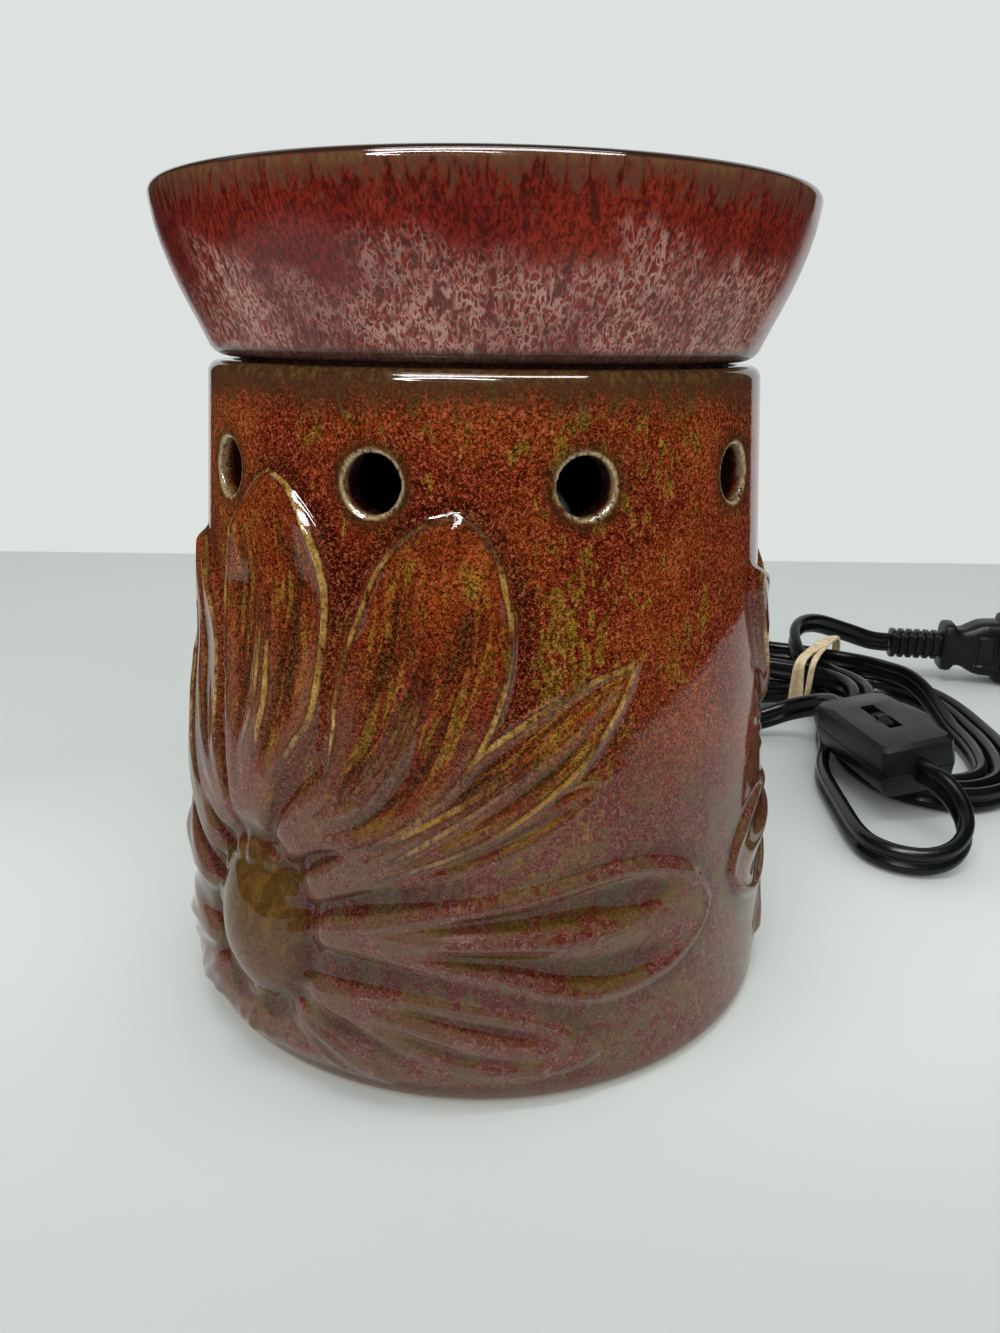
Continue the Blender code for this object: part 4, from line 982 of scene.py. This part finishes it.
def make_plug(mat):
    """Moulded plug: ribbed relief, collar, waist, body with a sunk panel on each flat side, flange."""
    rows = [(RIB_STEP * k + x, h, d) for k in range(RIB_COUNT) for x, h, d in RIB] + list(PLUG_ROWS)
    along, high, deep = np.array(rows).T
    xs = np.sort(np.concatenate([along, np.arange(29.2, 40.1, 0.23)]))
    sections = []
    for x in xs:
        half = np.interp(x, along, high), np.interp(x, along, deep)
        sections.append([(x, y, z) for z, y in rounded(*half, PLUG_SIDES, 0.6 if x < 19 else 0.5)])
    verts, faces = loft(sections)
    # sunk panel on both flat sides of the body
    x, y, tall = verts[:, 0], verts[:, 1], np.abs(verts[:, 2])
    flat = ease((x - 30.6) / 0.5) * ease((39.2 - x) / 0.5) * ease((6.6 - tall) / 0.6)
    pad = ease((x - 31.9) / 0.5) * ease((37.9 - x) / 0.5) * ease((5.3 - tall) / 0.6)
    verts[:, 1] -= np.sign(y) * (0.75 * flat - 0.45 * pad) * (np.abs(y) > 3.0)
    m = np.array(plug_matrix())
    verts = verts @ m[:3, :3].T + m[:3, 3]
    ob = mesh_piece("moulded_plug", verts, faces, mat, "warmer", 38.0)
    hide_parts("plug_body")
    return ob


def make_bushing(mat):
    sections = [[(x, y, z + LEAD_HIGH) for x, z in rounded(w, h, 40, 0.8)] for y, w, h in BUSHING_ROWS]
    verts, faces = loft(sections)
    ob = mesh_piece("lead_bushing", verts, faces, mat, "warmer", 40.0)
    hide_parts("cord_bushing")


# stage

def make_camera():
    cam = bpy.data.cameras.new("camera")
    cam.sensor_fit = "VERTICAL"
    cam.sensor_height = SENSOR_HIGH
    cam.lens = FOCAL_PX * SENSOR_HIGH / PHOTO_HIGH
    cam.clip_start = 0.01
    ob = linked("camera", cam)
    turn = Matrix.Rotation(math.radians(90 - CAMERA_PITCH), 4, "X")
    roll = Matrix.Rotation(math.radians(CAMERA_ROLL), 4, "Z")
    ob.matrix_world = Matrix.Translation(Vector(CAMERA_AT) * MM) @ turn @ roll
    bpy.context.scene.camera = ob


def only_reflected(ob):
    for ray in ("camera", "diffuse", "transmission", "shadow"):
        setattr(ob, "visible_" + ray, False)


def sheet(name, corners, mat):
    me = bpy.data.meshes.new(name)
    me.from_pydata([tuple(c * MM for c in p) for p in corners], [], [(0, 1, 2, 3)])
    ob = linked(name, me)
    me.materials.append(mat)
    return ob


def make_stage():
    n = Net("pale_table", roughness=0.8)
    n.shader.inputs["Specular IOR Level"].default_value = 0.0
    tone = n.noise(n.at(), 0.004, 3.0)
    # painted pool of light: the table's colour is brightest beside the warmer, and falls off to the front and
    # the back
    painted_light_pool = n.node("Mapping", {"Vector": n.at(), "Location": (0.0, 0.05, 0.0),
                              "Scale": (1 / LIGHT_POOL_HALF[0], 1 / LIGHT_POOL_HALF[1], 0.0)})
    painted_light_pool = n.node("TexGradient", {"Vector": painted_light_pool}, 1, gradient_type="SPHERICAL")
    pale = n.mix(tone, (0.74, 0.77, 0.75), (0.80, 0.83, 0.81))
    table = n.done(n.times(pale, n.span(painted_light_pool, 0.0, 1.0, 0.86, 1.20)))
    far = TABLE_HALF
    corners = ((-far, -far), (far, -far), (far, WALL_Y), (-far, WALL_Y))
    sheet("table", [(x, y, TABLE_Z) for x, y in corners], table)
    # dark flags that only reflections see: they stand round the table as the room does
    dark = Net("dark_flag", roughness=1.0).done((0.004, 0.004, 0.004))
    flags = [[(*p, 1), (*q, 1), (*q, FLAG_TOP), (*p, FLAG_TOP)] for p, q in zip(FLAG_LINE, FLAG_LINE[1:])]
    flags += [
        ((-460, -252, FLAG_TOP), (455, -252, FLAG_TOP), (455, 300, FLAG_TOP), (-460, 300, FLAG_TOP)),
        ((-900, 390, 1), (-300, 390, 1), (-300, 390, FLAG_TOP), (-900, 390, FLAG_TOP)),
        ((-900, 80, 1), (-330, 80, 1), (-330, 390, 1), (-900, 390, 1)),
    ]
    for k, corners in enumerate(flags, 1):
        only_reflected(sheet("dark_flag_%d" % k, corners, dark))
    world = bpy.data.worlds.new("studio")
    world.use_nodes = True
    back = world.node_tree.nodes["Background"]
    back.inputs["Color"].default_value = (0.725, 0.757, 0.745, 1.0)
    back.inputs["Strength"].default_value = 1.0
    bpy.context.scene.world = world


def lamp(name, at, aim, size, power):
    data = bpy.data.lights.new(name, "AREA")
    data.shape = "RECTANGLE"
    data.size, data.size_y = (side * MM for side in size)
    data.energy = power
    ob = linked(name, data)
    ob.location = Vector(at) * MM
    ob.rotation_euler = (Vector(aim) - Vector(at)).to_track_quat("-Z", "Y").to_euler()
    return ob


def reflected_lamp(name, at, aim, outline, strength):
    """A bright shape, facing its aim, that only reflections see."""
    glow = bpy.data.materials.new(name)
    glow.use_nodes = True
    shader = glow.node_tree.nodes["Principled BSDF"]
    shader.inputs["Emission Color"].default_value = (1.0, 1.0, 1.0, 1.0)
    shader.inputs["Emission Strength"].default_value = strength
    turn = (Vector(aim) - Vector(at)).to_track_quat("-Z", "Y").to_matrix()
    inner, outer = outline
    verts = [tuple((Vector(at) + turn @ Vector((x, y, 0))) * MM) for x, y in list(inner) + list(outer)]
    n = len(inner)
    me = bpy.data.meshes.new(name)
    me.from_pydata(verts, [], [(k, (k + 1) % n, n + (k + 1) % n, n + k) for k in range(n)])
    me.materials.append(glow)
    ob = linked(name, me)
    only_reflected(ob)


def make_lights():
    lamp("overhead", (15, -60, 620), (0, 0, 100), (430, 60), 0.75)
    key = lamp("key", (-150, -430, 330), (0, 0, 85), (260, 250), 0.36)
    key.visible_glossy = False
    box = ((-1, -1), (1, -1), (1, 1), (-1, 1))
    reflected_lamp("window", (15, -190, 480), (0, -50, 120),
                   ([(2 * x, 1 * y) for x, y in box], [(210 * x, 60 * y) for x, y in box]), 24.0)
    ring = [(math.cos(t), math.sin(t)) for t in np.linspace(0, 2 * math.pi, 48, endpoint=False)]
    reflected_lamp("ring", (-50, -238, 270), (-5, -54, 109),
                   ([(74 * x, 40 * y) for x, y in ring], [(96 * x, 58 * y) for x, y in ring]), 60.0)


def dress_nodes(looks):
    """Give every CAD node that still shows the material of its slot."""
    for part in frame["record"]["subparts"]:
        ob = NODES[part["node"]]
        ob.data.materials.clear()
        ob.data.materials.append(looks[part["material_slot"]])


def build():
    bpy.context.scene.view_settings.view_transform = "Standard"
    make_camera()
    make_stage()
    make_lights()
    looks = {"glaze_body": body_glaze(), "glaze_dish": dish_glaze(), "tan_rubber": rubber_tan()}
    for make, kinds in ((metal, METALS), (moulded, MOULDED), (glass, GLASSES)):
        looks.update({name: make(name, *kind) for name, kind in kinds.items()})
    dress_nodes(looks)
    make_body(looks["glaze_body"])
    make_dish(looks["glaze_dish"])
    make_bulb(looks["frosted_glass"])
    make_bushing(looks["black_rubber"])
    cords = make_cords(looks["black_vinyl"])
    band = make_band(looks["tan_rubber"])
    black = looks["black_plastic"]
    upper = softened("switch_housing_upper", "switch_cover_upper", black, "warmer", 0.55)
    lower = softened("switch_housing_lower", "switch_cover_lower", black, "warmer", 0.7)
    plug = make_plug(black)


build()
